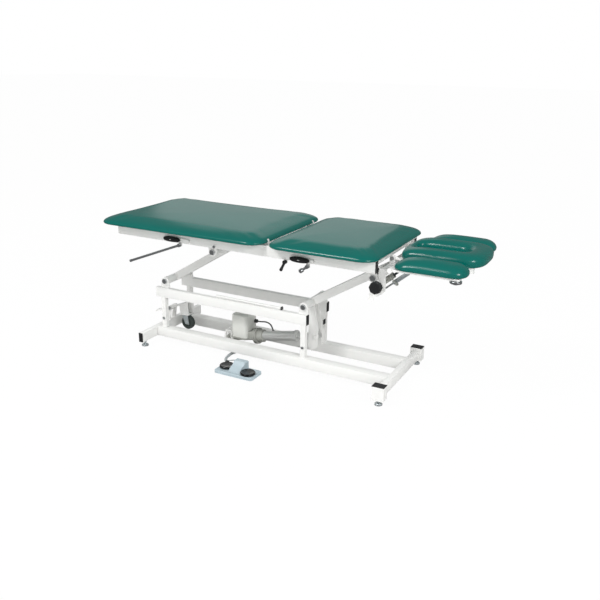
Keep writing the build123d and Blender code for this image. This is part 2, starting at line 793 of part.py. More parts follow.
def actuator():
    """Rod, outer tube, gearbox with rear eye, motor housing, gland and lead."""
    half_rod = actuator_rod_diameter / 2
    clevis_start = actuator_length - rod_clevis_length - rod_clevis_height / 2
    rod_start = actuator_tube_start + actuator_stroke_margin
    rod = bar((rod_start, 0, 0), (clevis_start, 0, 0), half_rod)
    clevis = block(
        clevis_start, actuator_length, -rod_clevis_width / 2, rod_clevis_width / 2,
        -rod_clevis_height / 2, rod_clevis_height / 2,
    )
    clevis = chamfer(clevis.edges().filter_by(Axis.X), length=tube_wall)
    clevis += bar(
        (actuator_length, -rod_clevis_width / 2, 0), (actuator_length, rod_clevis_width / 2, 0),
        rod_clevis_height / 2,
    )
    clevis -= bar(
        (actuator_length, -rod_clevis_width, 0), (actuator_length, rod_clevis_width, 0),
        lever_pin_diameter / 2 + fit_clearance,
    )
    keep("actuator_rod", on_actuator(rod + clevis))

    outer = actuator_tube_diameter / 2
    tube_end = actuator_tube_start + actuator_tube_length
    tube = pipe((actuator_tube_start, 0, 0), (tube_end, 0, 0), outer, outer - actuator_tube_wall)
    gland_ring = pipe(
        (tube_end - actuator_collar_length, 0, 0), (tube_end, 0, 0),
        actuator_collar_diameter / 2, half_rod + fit_clearance,
    )
    keep("actuator_tube", on_actuator(tube + gland_ring))

    eye_half = actuator_eye_width / 2
    wide_start = bracket_channel_width / 2 + plate_thickness
    root_start = actuator_tube_start - actuator_root_length / 2
    eye = bar((0, -eye_half, 0), (0, eye_half, 0), actuator_eye_radius)
    tongue = block(0, wide_start, -eye_half, eye_half, -actuator_eye_radius, actuator_eye_radius)
    casting = block(
        wide_start, root_start, -gearbox_width / 2, gearbox_width / 2,
        -actuator_eye_radius, gearbox_height - actuator_eye_radius,
    )
    casting = fillet(casting.edges().filter_by(Axis.X), radius=plate_thickness)
    flange = bar((root_start - ring_gear_length, 0, 0), (root_start, 0, 0), ring_gear_diameter / 2)
    groove = pipe(
        (root_start - ring_gear_length * 2 / 3, 0, 0), (root_start - ring_gear_length / 3, 0, 0),
        ring_gear_diameter, ring_gear_diameter / 2 - thin_plate / 2,
    )
    root = bar((root_start, 0, 0), (root_start + actuator_root_length, 0, 0), actuator_root_diameter / 2)
    root = chamfer(root.edges().group_by(Axis.X)[-1], length=thin_plate / 2)
    root -= bar(
        (actuator_tube_start, 0, 0), (root_start + actuator_root_length + cut_overrun, 0, 0), outer
    )
    rear_pin = bar(
        (0, -(eye_half + side_gap + bracket_plate + side_gap), 0),
        (0, eye_half + side_gap + bracket_plate + side_gap, 0), rear_pin_diameter / 2,
    )
    heads = both_heads(0, 0, eye_half + side_gap * 2 + bracket_plate, rear_pin_diameter)
    gearbox = on_actuator(eye + tongue + casting + (flange - groove) + root + rear_pin + heads)
    housing_right = motor_left + motor_length
    cover = block(
        motor_left, housing_right, -motor_width / 2, motor_width / 2,
        motor_bottom, motor_bottom + motor_height,
    )
    cover = fillet(cover.edges().filter_by(Axis.Z), radius=motor_corner)
    cover = fillet(cover.faces().sort_by(Axis.Z)[-1].edges(), radius=motor_corner / 2)
    base = block(
        motor_left - thin_plate, housing_right + thin_plate, -motor_width / 2 - thin_plate / 2,
        motor_width / 2 + thin_plate / 2, motor_bottom - motor_base_height, motor_bottom,
    )
    base = fillet(base.edges().filter_by(Axis.Z), radius=motor_corner)
    keep("gearbox", gearbox + base)
    keep("motor_housing", cover - gearbox)

    gland = bar(
        (housing_right, lead_route[0][1], motor_gland_height),
        (housing_right + gland_length, lead_route[0][1], motor_gland_height), gland_diameter / 2,
    )
    gland = chamfer(gland.edges().group_by(Axis.X)[-1], length=side_gap * 3)
    end_x, end_y, end_z = lead_route[-1]
    boss = block(
        end_x - motor_lead_diameter, end_x + motor_lead_diameter, 0, end_y + motor_lead_diameter,
        end_z - lead_boss_length, end_z,
    )
    boss -= on_actuator(
        bar((actuator_tube_start, 0, 0), (actuator_length, 0, 0), actuator_tube_diameter / 2)
    )
    keep("motor_gland", gland, boss)
    keep("motor_lead", lead_tube(lead_route, motor_lead_diameter))


def lead_tube(points, diameter):
    """A lead along straight runs and tangent arcs, as large as the runs allow."""
    vectors = [Vector(*p) for p in points]
    radii = []
    for i in range(1, len(vectors) - 1):
        before = vectors[i] - vectors[i - 1]
        after = vectors[i + 1] - vectors[i]
        turn = math.radians(before.get_angle(after))
        radii.append(lead_arc_share * min(before.length, after.length) / math.tan(turn / 2))
    print("arc radii", [round(r, 1) for r in radii])
    path = FilletPolyline(*vectors, radius=radii)
    section = Plane(origin=path @ 0, z_dir=path % 0) * Circle(diameter / 2)
    tube = sweep(section, path=path)
    print("volume over section times length", tube.volume / (path.length * section.area))
    return tube


def hinge_ear(x, stem_front):
    """An ear on the inner face of the right rail that carries a section's hinge pin."""
    y0 = -top_rail_inner
    y1 = -top_rail_inner + hinge_ear_thickness
    r = hinge_ear_radius
    plate = side_plate(
        [(x - r * 3, top_rail_bottom + r), (stem_front, top_rail_bottom + r),
         (stem_front, hinge_height - r), (x + r, hinge_height), (x - r, hinge_height),
         (x - r, top_rail_top), (x - r * 3, top_rail_top - r)], y0, y1,
    )
    plate += bar((x, y0, hinge_height), (x, y1, hinge_height), r)
    return plate - bar((x, y0 - r, hinge_height), (x, y1 + r, hinge_height), hinge_pin_diameter / 2)


def hinge_pin(x, z, y_outer, y_inner, diameter):
    """A smooth hinge pin with a flat head at its inner end."""
    pin = bar((x, y_outer, z), (x, y_inner, z), diameter / 2)
    head = bar((x, y_inner, z), (x, y_inner + hinge_pin_head_length, z), hinge_pin_head_diameter / 2)
    return pin + head


def top_frame():
    """Side rails, cross tubes, hanging brackets, hinge ears, bolts, caps and rubber rests."""
    rail = tube_along_x(
        top_rail_start, top_rail_end, -(top_rail_inner + tube_width / 2), top_rail_bottom,
        tube_width, top_rail_height, tube_wall,
    )
    rail += block(
        top_rail_start, top_rail_start + tube_wall, -top_rail_outer, -top_rail_inner,
        top_rail_bottom, top_rail_top,
    )
    keep("top_rails", both_sides(rail))
    keep(
        "top_rail_caps",
        both_sides(
            end_cap_x(
                top_rail_end, -(top_rail_inner + tube_width / 2), top_rail_bottom,
                tube_width, top_rail_height, tube_wall,
            )
        ),
    )
    cross = []
    for x in top_cross_places:
        cross.append(
            tube_along_y(
                x, -top_rail_inner, top_rail_inner, top_rail_bottom + tube_wall,
                top_cross_height, frame_tube, tube_wall,
            )
        )
    end_half = top_rail_inner - hinge_ear_thickness
    end_cross = tube_along_y(
        end_cross_x, -end_half, end_half, end_cross_bottom, frame_tube, frame_tube, tube_wall
    )
    ear_outer = head_bar_inner + frame_tube + head_lug_thickness + side_gap + head_ear_thickness
    ear_inner = ear_outer - head_ear_thickness
    ear = lug_plate(
        head_hinge_x, end_cross_bottom + frame_tube, head_hinge_height, -ear_outer, -ear_inner,
        head_tip_radius,
    )
    ear -= bar(
        (head_hinge_x, -ear_outer - lug_width, head_hinge_height),
        (head_hinge_x, lug_width, head_hinge_height), hinge_pin_diameter / 2,
    )
    keep("top_cross_tubes", cross, end_cross, both_sides(ear))

    brackets = []
    bolts = []
    y0 = -top_rail_inner
    y1 = y0 + plate_thickness
    for x in (foot_upper_x, head_upper_x):
        hanger = lug(
            x, top_rail_bottom + tube_width, upper_pivot_height, y0, y1, pivot_bolt_diameter / 2
        )
        brackets += both_sides(hanger)
        bolts += both_sides(
            pivot_bolt(x, upper_pivot_height, y0, -(upper_shaft_half - bush_length))
        )
    bolts += both_sides(
        hexagon_head(
            foot_upper_x + lug_width / 2, -top_rail_outer - thin_plate, -top_rail_outer,
            top_rail_bottom + plate_thickness, plate_thickness * 1.5,
        )
    )
    leg_ear = hinge_ear(leg_hinge_x, leg_hinge_x + hinge_ear_radius)
    mid_ear = hinge_ear(mid_hinge_x, top_rail_end)
    y_in = -top_rail_inner + hinge_ear_thickness
    lock = side_plate(
        [(end_plate_start, top_rail_bottom + tube_width), (end_plate_start, top_rail_bottom),
         (clamp_x - knob_width / 2, clamp_height), (spring_low_x - low_lug_radius, spring_low_height),
         (spring_low_x + low_lug_radius, spring_low_height),
         (lock_plate_rear, clamp_height - lug_tip_radius),
         (lock_plate_rear, end_cross_bottom + frame_tube)], y0, y_in,
    )
    lock += bar(
        (spring_low_x, y0, spring_low_height), (spring_low_x, y_in, spring_low_height),
        low_lug_radius,
    )
    lock -= bar(
        (clamp_x, y0 - tube_width, clamp_height), (clamp_x, tube_width, clamp_height),
        clamp_spindle_diameter / 2 + fit_clearance,
    )
    end_plate = side_plate(
        [(end_plate_start, top_rail_bottom), (lock_plate_rear, top_rail_bottom),
         (lock_plate_rear, end_cross_bottom + frame_tube), (end_plate_start, top_rail_bottom + tube_width)],
        y0, y_in,
    )
    right_end = mid_ear + lock - bar(
        (head_upper_x, y0 - tube_width, upper_pivot_height), (head_upper_x, 0, upper_pivot_height),
        lug_tip_radius + thin_plate,
    )
    left_end = mirror_y(mid_ear + end_plate)
    tabs = []
    for x, drop in ((leg_rod_x, tab_drop), (ball_lever_x, tab_drop), (short_rod_x, mid_hub_drop)):
        tab = block(
            x - lever_hub_diameter / 2, x + lever_hub_diameter / 2, -top_rail_outer,
            -top_rail_outer + tab_thickness, top_rail_bottom - drop, top_rail_bottom,
        )
        tab += bar(
            (x, -top_rail_outer, top_rail_bottom - drop),
            (x, -top_rail_outer + tab_thickness, top_rail_bottom - drop), lever_hub_diameter / 2,
        )
        tab &= block(
            x - lever_hub_diameter, x + lever_hub_diameter, -top_rail_outer,
            -top_rail_outer + tab_thickness, top_rail_bottom - drop * 4, top_rail_bottom,
        )
        tabs.append(tab)
    keep("top_brackets", brackets, both_sides(leg_ear), right_end, left_end, tabs)

    pins = []
    for x in (leg_hinge_x, mid_hinge_x):
        pins += both_sides(hinge_pin(x, hinge_height, y0, hinge_lug_inner, hinge_pin_diameter))
    head_pin = bar(
        (head_hinge_x, -ear_outer, head_hinge_height),
        (head_hinge_x, -(head_bar_inner + frame_tube), head_hinge_height), hinge_pin_diameter / 2,
    )
    head_pin += bar(
        (head_hinge_x, -ear_outer - hinge_pin_head_length, head_hinge_height),
        (head_hinge_x, -ear_outer, head_hinge_height), hinge_pin_head_diameter / 2,
    )
    spring_bolt = bar(
        (spring_low_x, y_in, spring_low_height),
        (spring_low_x, -(rod_plane - spring_eye_width), spring_low_height), spring_pin_diameter / 2,
    )
    keep("top_bolts", bolts, pins, both_sides(head_pin), spring_bolt)

    rests = []
    for x in pad_rest_places:
        rest = block(
            x - frame_tube / 2, x + frame_tube / 2, -top_rail_outer + tube_wall,
            -top_rail_inner - tube_wall, top_rail_top, pad_bottom_height - soft_gap,
        )
        rests += both_sides(rest)
    keep("pad_rests", rests)


def lug_plate(x, seat, tip, y0, y1, radius):
    """A plain lug with a round tip and a foot twice as wide."""
    plate = side_plate(
        [(x - radius, seat), (x + radius, seat), (x + radius, tip), (x - radius, tip)], y0, y1
    )
    return plate + bar((x, y0, tip), (x, y1, tip), radius)


def cushion(x0, x1, half, bottom, thickness, corner, roll, under):
    """A crowned pad with drawn-in sides, lofted through rounded rectangles."""
    mid = (x0 + x1) / 2
    length = x1 - x0
    sections = []
    for level_share, under_share, roll_share in cushion_shares:
        inset = under * under_share + roll * roll_share
        sections.append(
            Pos(mid, 0, bottom + thickness * level_share)
            * RectangleRounded(length - 2 * inset, 2 * (half - inset), corner - inset)
        )
    body = loft(sections)
    top_share, _, roll_share = cushion_shares[-1]
    inset = roll * roll_share
    crown = extrude(
        Pos(mid, 0, bottom + thickness * top_share)
        * RectangleRounded(length - 2 * inset, 2 * (half - inset), corner - inset),
        amount=thickness * (1 - top_share), taper=crown_taper,
    )
    return body + crown


def section_frame(x0, x1, hinge_x):
    """The tube frame under a pad, with its two hinge lugs."""
    y_out = section_frame_half + frame_tube / 2
    low = pad_bottom_height - frame_tube
    side = tube_along_x(x0, x1, -section_frame_half, low, frame_tube, frame_tube, frame_wall)
    frame = both_sides(side)
    cross = []
    inner = section_frame_half - frame_tube / 2
    for x in (x0 + frame_tube / 2, (x0 + x1) / 2, x1 - frame_tube / 2):
        cross.append(tube_along_y(x, -inner, inner, low, frame_tube, frame_tube, frame_wall))
    y0 = -y_out
    y1 = y0 + hinge_lug_thickness
    r = hinge_ear_radius
    lug_body = side_plate(
        [(x1 - tube_width, pad_bottom_height), (x1 - tube_width, low), (x1, low),
         (hinge_x + r, hinge_height), (hinge_x - r, hinge_height),
         (hinge_x - r, pad_bottom_height)], y0, y1,
    )
    lug_body += bar((hinge_x, y0, hinge_height), (hinge_x, y1, hinge_height), r)
    lug_body -= bar(
        (hinge_x, y0 - r, hinge_height), (hinge_x, y1 + r, hinge_height),
        hinge_pin_diameter / 2 + fit_clearance,
    )
    sides = [piece - lug_body - mirror_y(lug_body) for piece in frame]
    return sides + cross + both_sides(lug_body)


def hinge_pocket(pad, hinge_x, end):
    """The two recesses in a pad's underside that clear the hinge ears."""
    r = hinge_ear_radius + pocket_clearance
    pocket = block(
        hinge_x - r, end + cut_overrun, -top_rail_inner - pocket_clearance,
        -(section_frame_half - frame_tube / 2), pad_bottom_height - cut_overrun, hinge_height + r,
    )
    return pad - pocket - mirror_y(pocket)


def leg_section():
    """The long pad and the frame that raises it."""
    pad = cushion(
        leg_pad_start, leg_pad_end, pad_half, pad_bottom_height, pad_thickness,
        pad_corner_radius, pad_top_roll, pad_bottom_inset,
    )
    keep("leg_pad", hinge_pocket(pad, leg_hinge_x, leg_pad_end))
    keep("leg_frame", section_frame(leg_pad_start + frame_inset, leg_hinge_x - frame_back, leg_hinge_x))


def mid_section():
    """The middle pad and its frame."""
    pad = cushion(
        mid_pad_start, mid_pad_end, pad_half, pad_bottom_height, pad_thickness,
        pad_corner_radius, pad_top_roll, pad_bottom_inset,
    )
    keep("mid_pad", hinge_pocket(pad, mid_hinge_x, mid_pad_end))
    keep("mid_frame", section_frame(mid_pad_start + frame_inset / 2, mid_hinge_x - frame_back, mid_hinge_x))


def head_outline(inset):
    """The horseshoe outline of the head pad, drawn in by an inset."""
    x0 = head_pad_start + inset
    x1 = head_pad_end - inset
    half = head_pad_half_width - inset
    body = Pos((x0 + x1) / 2, 0) * RectangleRounded(x1 - x0, 2 * half, head_pad_corner - inset)
    slot_half = face_slot_width / 2 + inset
    slot = Pos((x0 - slot_half * 2 + face_slot_end + inset) / 2, 0) * SlotOverall(
        face_slot_end + inset - x0 + slot_half * 2, 2 * slot_half
    )
    return body - slot


def head_pad():
    """The head pad with its face opening."""
    pad = extrude(Pos(0, 0, head_pad_bottom) * head_outline(0), amount=head_pad_thickness)
    pad = fillet(pad.edges().filter_by(Axis.Z).sort_by(Axis.X)[0:2], radius=head_roll)
    pad = fillet(pad.faces().sort_by(Axis.Z)[-1].edges(), radius=head_roll)
    pad = fillet(pad.faces().sort_by(Axis.Z)[0].edges(), radius=head_under_roll)
    keep("head_pad", pad)


def strut_axis(x0, z0, x1, z1):
    """Angle in degrees and length between two points in the XZ plane."""
    return math.degrees(math.atan2(z1 - z0, x1 - x0)), math.hypot(x1 - x0, z1 - z0)


def on_line(x, y, z, angle, shape):
    """Move a shape drawn along +X from the origin onto a line in the XZ plane."""
    return Pos(x, y, z) * Rot(0, -angle, 0) * shape


def head_frame():
    """Bars, cross tubes, hinge lugs and strut brackets under the head pad."""
    low = head_pad_bottom - frame_tube
    y_mid = -(head_bar_inner + frame_tube / 2)
    y_out = -(head_bar_inner + frame_tube)
    side = tube_along_x(head_bar_start, head_bar_end, y_mid, low, frame_tube, frame_tube, frame_wall)
    cross = [
        tube_along_y(x, -head_bar_inner, head_bar_inner, low, frame_tube, frame_tube, frame_wall)
        for x in head_cross_places
    ]
    y0 = y_out - head_lug_thickness
    r = head_tip_radius
    lug_body = side_plate(
        [(head_hinge_x, head_hinge_height - r * lug_root_share),
         (head_bar_start, head_hinge_height - r * lug_relief_share), (head_bar_start, low),
         (head_bar_start + lug_width, low), (head_bar_start + lug_width, low + frame_tube),
         (head_pad_start - side_gap, low + frame_tube), (head_hinge_x, head_hinge_height + r)],
        y0, y_out,
    )
    lug_body += bar((head_hinge_x, y0, head_hinge_height), (head_hinge_x, y_out, head_hinge_height), r)
    lug_body -= bar(
        (head_hinge_x, y0 - r, head_hinge_height), (head_hinge_x, y_out + r, head_hinge_height),
        hinge_pin_diameter / 2 + fit_clearance,
    )
    plate_y = y_out - bracket_plate
    strut = side_plate(
        [(head_bar_start + lug_width + side_gap, low + frame_tube - tube_wall),
         (head_bar_start + lug_width + side_gap, lock_rod_pivot_height - r),
         (spring_top_x - r - spring_slot_reach, spring_top_height - r),
         (spring_top_x + r + spring_slot_reach, spring_top_height - r),
         (spring_top_x + r + spring_slot_reach, low + frame_tube - tube_wall)], plate_y, y_out,
    )
    outer_y0 = -(rod_plane + spring_eye_width / 2 + side_gap + bracket_plate)
    slot_half = spring_pin_diameter / 2
    slot = block(
        spring_top_x - spring_slot_reach - slot_half, spring_top_x + spring_slot_reach + slot_half,
        -rod_plane * 2, 0,
        spring_top_height - spring_slot_reach - slot_half, spring_top_height + spring_slot_reach + slot_half,
    )
    strut -= fillet(slot.edges().filter_by(Axis.Y), radius=slot_half)
    lock_pin = bar(
        (lock_rod_pivot_x, plate_y, lock_rod_pivot_height),
        (lock_rod_pivot_x, outer_y0 + bracket_plate, lock_rod_pivot_height), spring_pin_diameter / 2,
    )
    lock_pin += bar(
        (lock_rod_pivot_x, outer_y0, lock_rod_pivot_height),
        (lock_rod_pivot_x, outer_y0 + bracket_plate, lock_rod_pivot_height), spring_pin_diameter,
    )
    shaft = bar(
        (arm_hinge_x, -(arm_bar_inner + arm_bar_width + side_gap), arm_hinge_height),
        (arm_hinge_x, y_out, arm_hinge_height), arm_hinge_diameter / 2,
    )
    shaft += bar(
        (arm_hinge_x, -(arm_bar_inner + arm_bar_width + side_gap + hinge_pin_head_length), arm_hinge_height),
        (arm_hinge_x, -(arm_bar_inner + arm_bar_width + side_gap), arm_hinge_height),
        hinge_pin_head_diameter / 2,
    )
    keep(
        "head_frame", both_sides(side), cross, both_sides(lug_body), strut, lock_pin, both_sides(shaft)
    )


def head_struts():
    """Gas spring, lock rod, swivelling clamp with its ball lever, and the octagonal knob."""
    angle, length = strut_axis(spring_low_x, spring_low_height, spring_top_x, spring_top_height)
    eye_r = spring_eye_radius
    half_eye = spring_eye_width / 2
    hole = spring_pin_diameter / 2 + fit_clearance
    body_start = length - spring_body_length - eye_r
    rod_end = body_start + spring_engagement
    rod = bar((eye_r / 2, 0, 0), (rod_end, 0, 0), spring_rod_diameter / 2)
    eye = bar((0, -half_eye, 0), (0, half_eye, 0), eye_r)
    eye -= bar((0, -half_eye * 2, 0), (0, half_eye * 2, 0), hole)
    rod_piece = (rod - bar((0, -half_eye * 2, 0), (0, half_eye * 2, 0), hole)) + eye
    keep(
        "gas_spring_rod",
        on_line(spring_low_x, -rod_plane, spring_low_height, angle, rod_piece),
    )
    body = bar((body_start, 0, 0), (length - eye_r / 2, 0, 0), spring_body_diameter / 2)
    body = chamfer(body.edges().group_by(Axis.X)[0], length=tube_wall)
    bore = bar(
        (body_start - eye_r, 0, 0), (length - spring_eye_radius - spring_reserve, 0, 0),
        spring_rod_diameter / 2 + fit_clearance,
    )
    top_eye = bar((length, -half_eye, 0), (length, half_eye, 0), eye_r)
    top_pin = bar(
        (length, -(half_eye + side_gap), 0), (length, half_eye + spring_pin_reach, 0),
        spring_pin_diameter / 2,
    )
    keep(
        "gas_spring_body",
        on_line(spring_low_x, -rod_plane, spring_low_height, angle, body - bore + top_eye + top_pin),
    )

    lock_angle, lock_length = strut_axis(clamp_x, clamp_height, lock_rod_pivot_x, lock_rod_pivot_height)
    lock = bar((-lock_rod_tail, 0, 0), (lock_length - eye_r / 2, 0, 0), lock_rod_diameter / 2)
    lock_eye = bar((lock_length, -half_eye, 0), (lock_length, half_eye, 0), eye_r)
    lock_hole = bar((lock_length, -half_eye * 2, 0), (lock_length, half_eye * 2, 0), hole)
    keep(
        "lock_rod",
        on_line(clamp_x, -rod_plane, clamp_height, lock_angle, lock + lock_eye - lock_hole),
    )
    sleeve = pipe(
        (-clamp_sleeve_tail, 0, 0), (clamp_sleeve_length - clamp_sleeve_tail, 0, 0),
        clamp_sleeve_diameter / 2, lock_rod_diameter / 2 + clamp_bore_clearance,
    )
    spindle = bar(
        (0, -(top_rail_inner - rod_plane + knob_gap), 0), (0, -clamp_sleeve_diameter / 4, 0),
        clamp_spindle_diameter / 2,
    )
    spindle -= bar(
        (-clamp_sleeve_tail * 2, 0, 0), (clamp_sleeve_length, 0, 0),
        lock_rod_diameter / 2 + clamp_bore_clearance,
    )
    lever_place = clamp_sleeve_length - clamp_sleeve_tail - spring_eye_width * lever_place_share
    collar = pipe(
        (lever_place - spring_eye_width * 2, 0, 0),
        (lever_place - spring_eye_width, 0, 0),
        clamp_sleeve_diameter / 2 + side_gap, clamp_sleeve_diameter / 2 - tube_wall,
    )
    sleeve_r = clamp_sleeve_diameter / 2
    stub_face = -sleeve_r - thin_plate
    pin_r = clamp_lever_diameter / 2
    pin_depth = sleeve_r - tube_wall
    ear = bar((lever_place, stub_face, 0), (lever_place, -pin_depth, 0), clamp_lever_diameter)
    ear -= bar(
        (lever_place, stub_face - cut_overrun, 0), (lever_place, -pin_depth, 0), pin_r + fit_clearance
    )
    sleeve -= bar((lever_place, -sleeve_r * 2, 0), (lever_place, -pin_depth, 0), pin_r + fit_clearance)
    keep(
        "clamp_block",
        on_line(clamp_x, -rod_plane, clamp_height, lock_angle, sleeve + collar + spindle + ear),
    )
    hub_near = stub_face - side_gap / 2 - clamp_hub_thickness
    lever_y = hub_near + clamp_hub_thickness / 2
    hub = bar(
        (lever_place, hub_near, 0), (lever_place, hub_near + clamp_hub_thickness, 0),
        clamp_lever_diameter,
    )
    pin = bar((lever_place, hub_near, 0), (lever_place, -pin_depth - side_gap / 2, 0), pin_r)
    tip = (lever_place + clamp_lever_length * clamp_lever_run_share, lever_y, -clamp_lever_length)
    arm = bar((lever_place, lever_y, 0), tip, pin_r)
    ball = Pos(*tip) * Sphere(ball_diameter / 2)
    keep(
        "clamp_lever",
        on_line(clamp_x, -rod_plane, clamp_height, lock_angle, hub + pin + arm + ball),
    )
    knob_back = -top_rail_inner - knob_gap
    knob = extrude(
        Plane.XZ * RegularPolygon(knob_width / 2, 8, major_radius=False), amount=knob_thickness,
        dir=(0, -1, 0),
    )
    knob = fillet(knob.edges().filter_by(Axis.Y), radius=knob_thickness / 4)
    knob = fillet(knob.faces().sort_by(Axis.Y)[0].edges(), radius=knob_thickness / 6)
    hub = bar((0, -knob_hub_length, 0), (0, 0, 0), clamp_spindle_diameter)
    keep(
        "clamp_knob",
        Pos(clamp_x, knob_back, clamp_height) * (Pos(0, -knob_hub_length, 0) * knob + hub),
    )


def arm_rest(side, sign):
    """One arm rest: pad, carrier bar with its hinge boss, and the flat clamp knob."""
    length = arm_pad_end - arm_pad_start
    width = arm_pad_outer - arm_pad_inner
    mid_x = (arm_pad_start + arm_pad_end) / 2
    mid_y = (arm_pad_inner + arm_pad_outer) / 2
    pad = extrude(
        Pos(mid_x, -mid_y, arm_pad_bottom) * RectangleRounded(length, width, arm_pad_corner),
        amount=arm_pad_thickness,
    )
    pad = fillet(pad.faces().sort_by(Axis.Z)[-1].edges(), radius=head_roll)
    pad = fillet(pad.faces().sort_by(Axis.Z)[0].edges(), radius=head_under_roll)
    y0 = -(arm_bar_inner + arm_bar_width)
    y1 = -arm_bar_inner
    carrier = block(
        arm_hinge_x, arm_bar_end, y0, y1, arm_pad_bottom - arm_bar_thickness, arm_pad_bottom
    )
    boss = bar(
        (arm_hinge_x, y0, arm_hinge_height), (arm_hinge_x, y1, arm_hinge_height),
        arm_boss_diameter / 2,
    )
    web = block(
        arm_hinge_x, arm_hinge_x + arm_boss_diameter, y0, y1, arm_hinge_height,
        arm_pad_bottom - arm_bar_thickness,
    )
    carrier = carrier + boss + web
    carrier &= block(
        arm_hinge_x - arm_boss_diameter, arm_bar_end, y0, y1, 0, arm_pad_bottom
    )
    carrier -= bar(
        (arm_hinge_x, y0 - lug_width, arm_hinge_height), (arm_hinge_x, y1 + lug_width, arm_hinge_height),
        arm_hinge_diameter / 2 + fit_clearance,
    )
    knob_y = (y0 + y1) / 2 - arm_knob_offset
    stud_hole = arm_knob_stud / 2 + fit_clearance
    carrier -= bar(
        (arm_knob_x, knob_y, arm_pad_bottom - arm_bar_thickness * 2),
        (arm_knob_x, knob_y, arm_pad_bottom + arm_bar_thickness), stud_hole,
    )
    top = arm_pad_bottom - arm_bar_thickness - side_gap
    knob = bar(
        (arm_knob_x, knob_y, top - arm_knob_height), (arm_knob_x, knob_y, top), arm_knob_diameter / 2
    )
    knob = fillet(knob.edges(), radius=arm_knob_height / 4)
    knob += bar(
        (arm_knob_x, knob_y, top), (arm_knob_x, knob_y, arm_pad_bottom - side_gap / 2), arm_knob_stud / 2
    )
    knob += bar(
        (arm_knob_x, knob_y, top - arm_knob_height - thin_plate),
        (arm_knob_x, knob_y, top - arm_knob_height), arm_knob_stud,
    )
    if sign > 0:
        pad, carrier, knob = mirror_y(pad), mirror_y(carrier), mirror_y(knob)
    keep("arm_pad_" + side, pad)
    keep("arm_carrier_" + side, carrier)
    keep("arm_knob_" + side, knob)


def paddle(name, x, z, arm):
    """A flattened black grip on a short flat bar that turns on the rail's outer face."""
    y = -top_rail_outer - side_gap / 2
    grip_y = y - paddle_thickness / 2 - side_gap
    grip = Pos(x, grip_y, z) * scale(
        Sphere(paddle_thickness / 2),
        by=(paddle_length / paddle_thickness, 1, paddle_height / paddle_thickness),
    )
    flat = block(
        x, x + arm, y - paddle_bar_thickness, y, z - paddle_bar_width / 2, z + paddle_bar_width / 2
    )
    hub = bar((x + arm, y - paddle_bar_thickness, z), (x + arm, y, z), paddle_bar_width / 2)
    screw = bar(
        (x + arm, y - paddle_bar_thickness - thin_plate / 2, z), (x + arm, y - paddle_bar_thickness, z),
        paddle_spindle_diameter / 2,
    )
    keep(name, grip + flat + hub + screw)


def hub_lever(name, x, drop, run, fall, knob_size):
    """A round lever that hangs from a tab below the right rail."""
    y = -top_rail_outer - side_gap / 2
    z = top_rail_bottom - drop
    hub = bar((x, y - lever_hub_length, z), (x, y, z), lever_hub_diameter / 2)
    start = Vector(x, y - lever_hub_length / 2, z)
    end = Vector(x - run, y - lever_hub_length / 2, z - fall)
    along = (end - start).normalized()
    grip = bar(tuple(end - along * knob_size), tuple(end), knob_size / 2)
    grip = chamfer(grip.edges(), length=knob_size * grip_chamfer_share)
    keep(name, hub + bar(tuple(start), tuple(end - along * knob_size / 2), release_rod_diameter / 2) + grip)


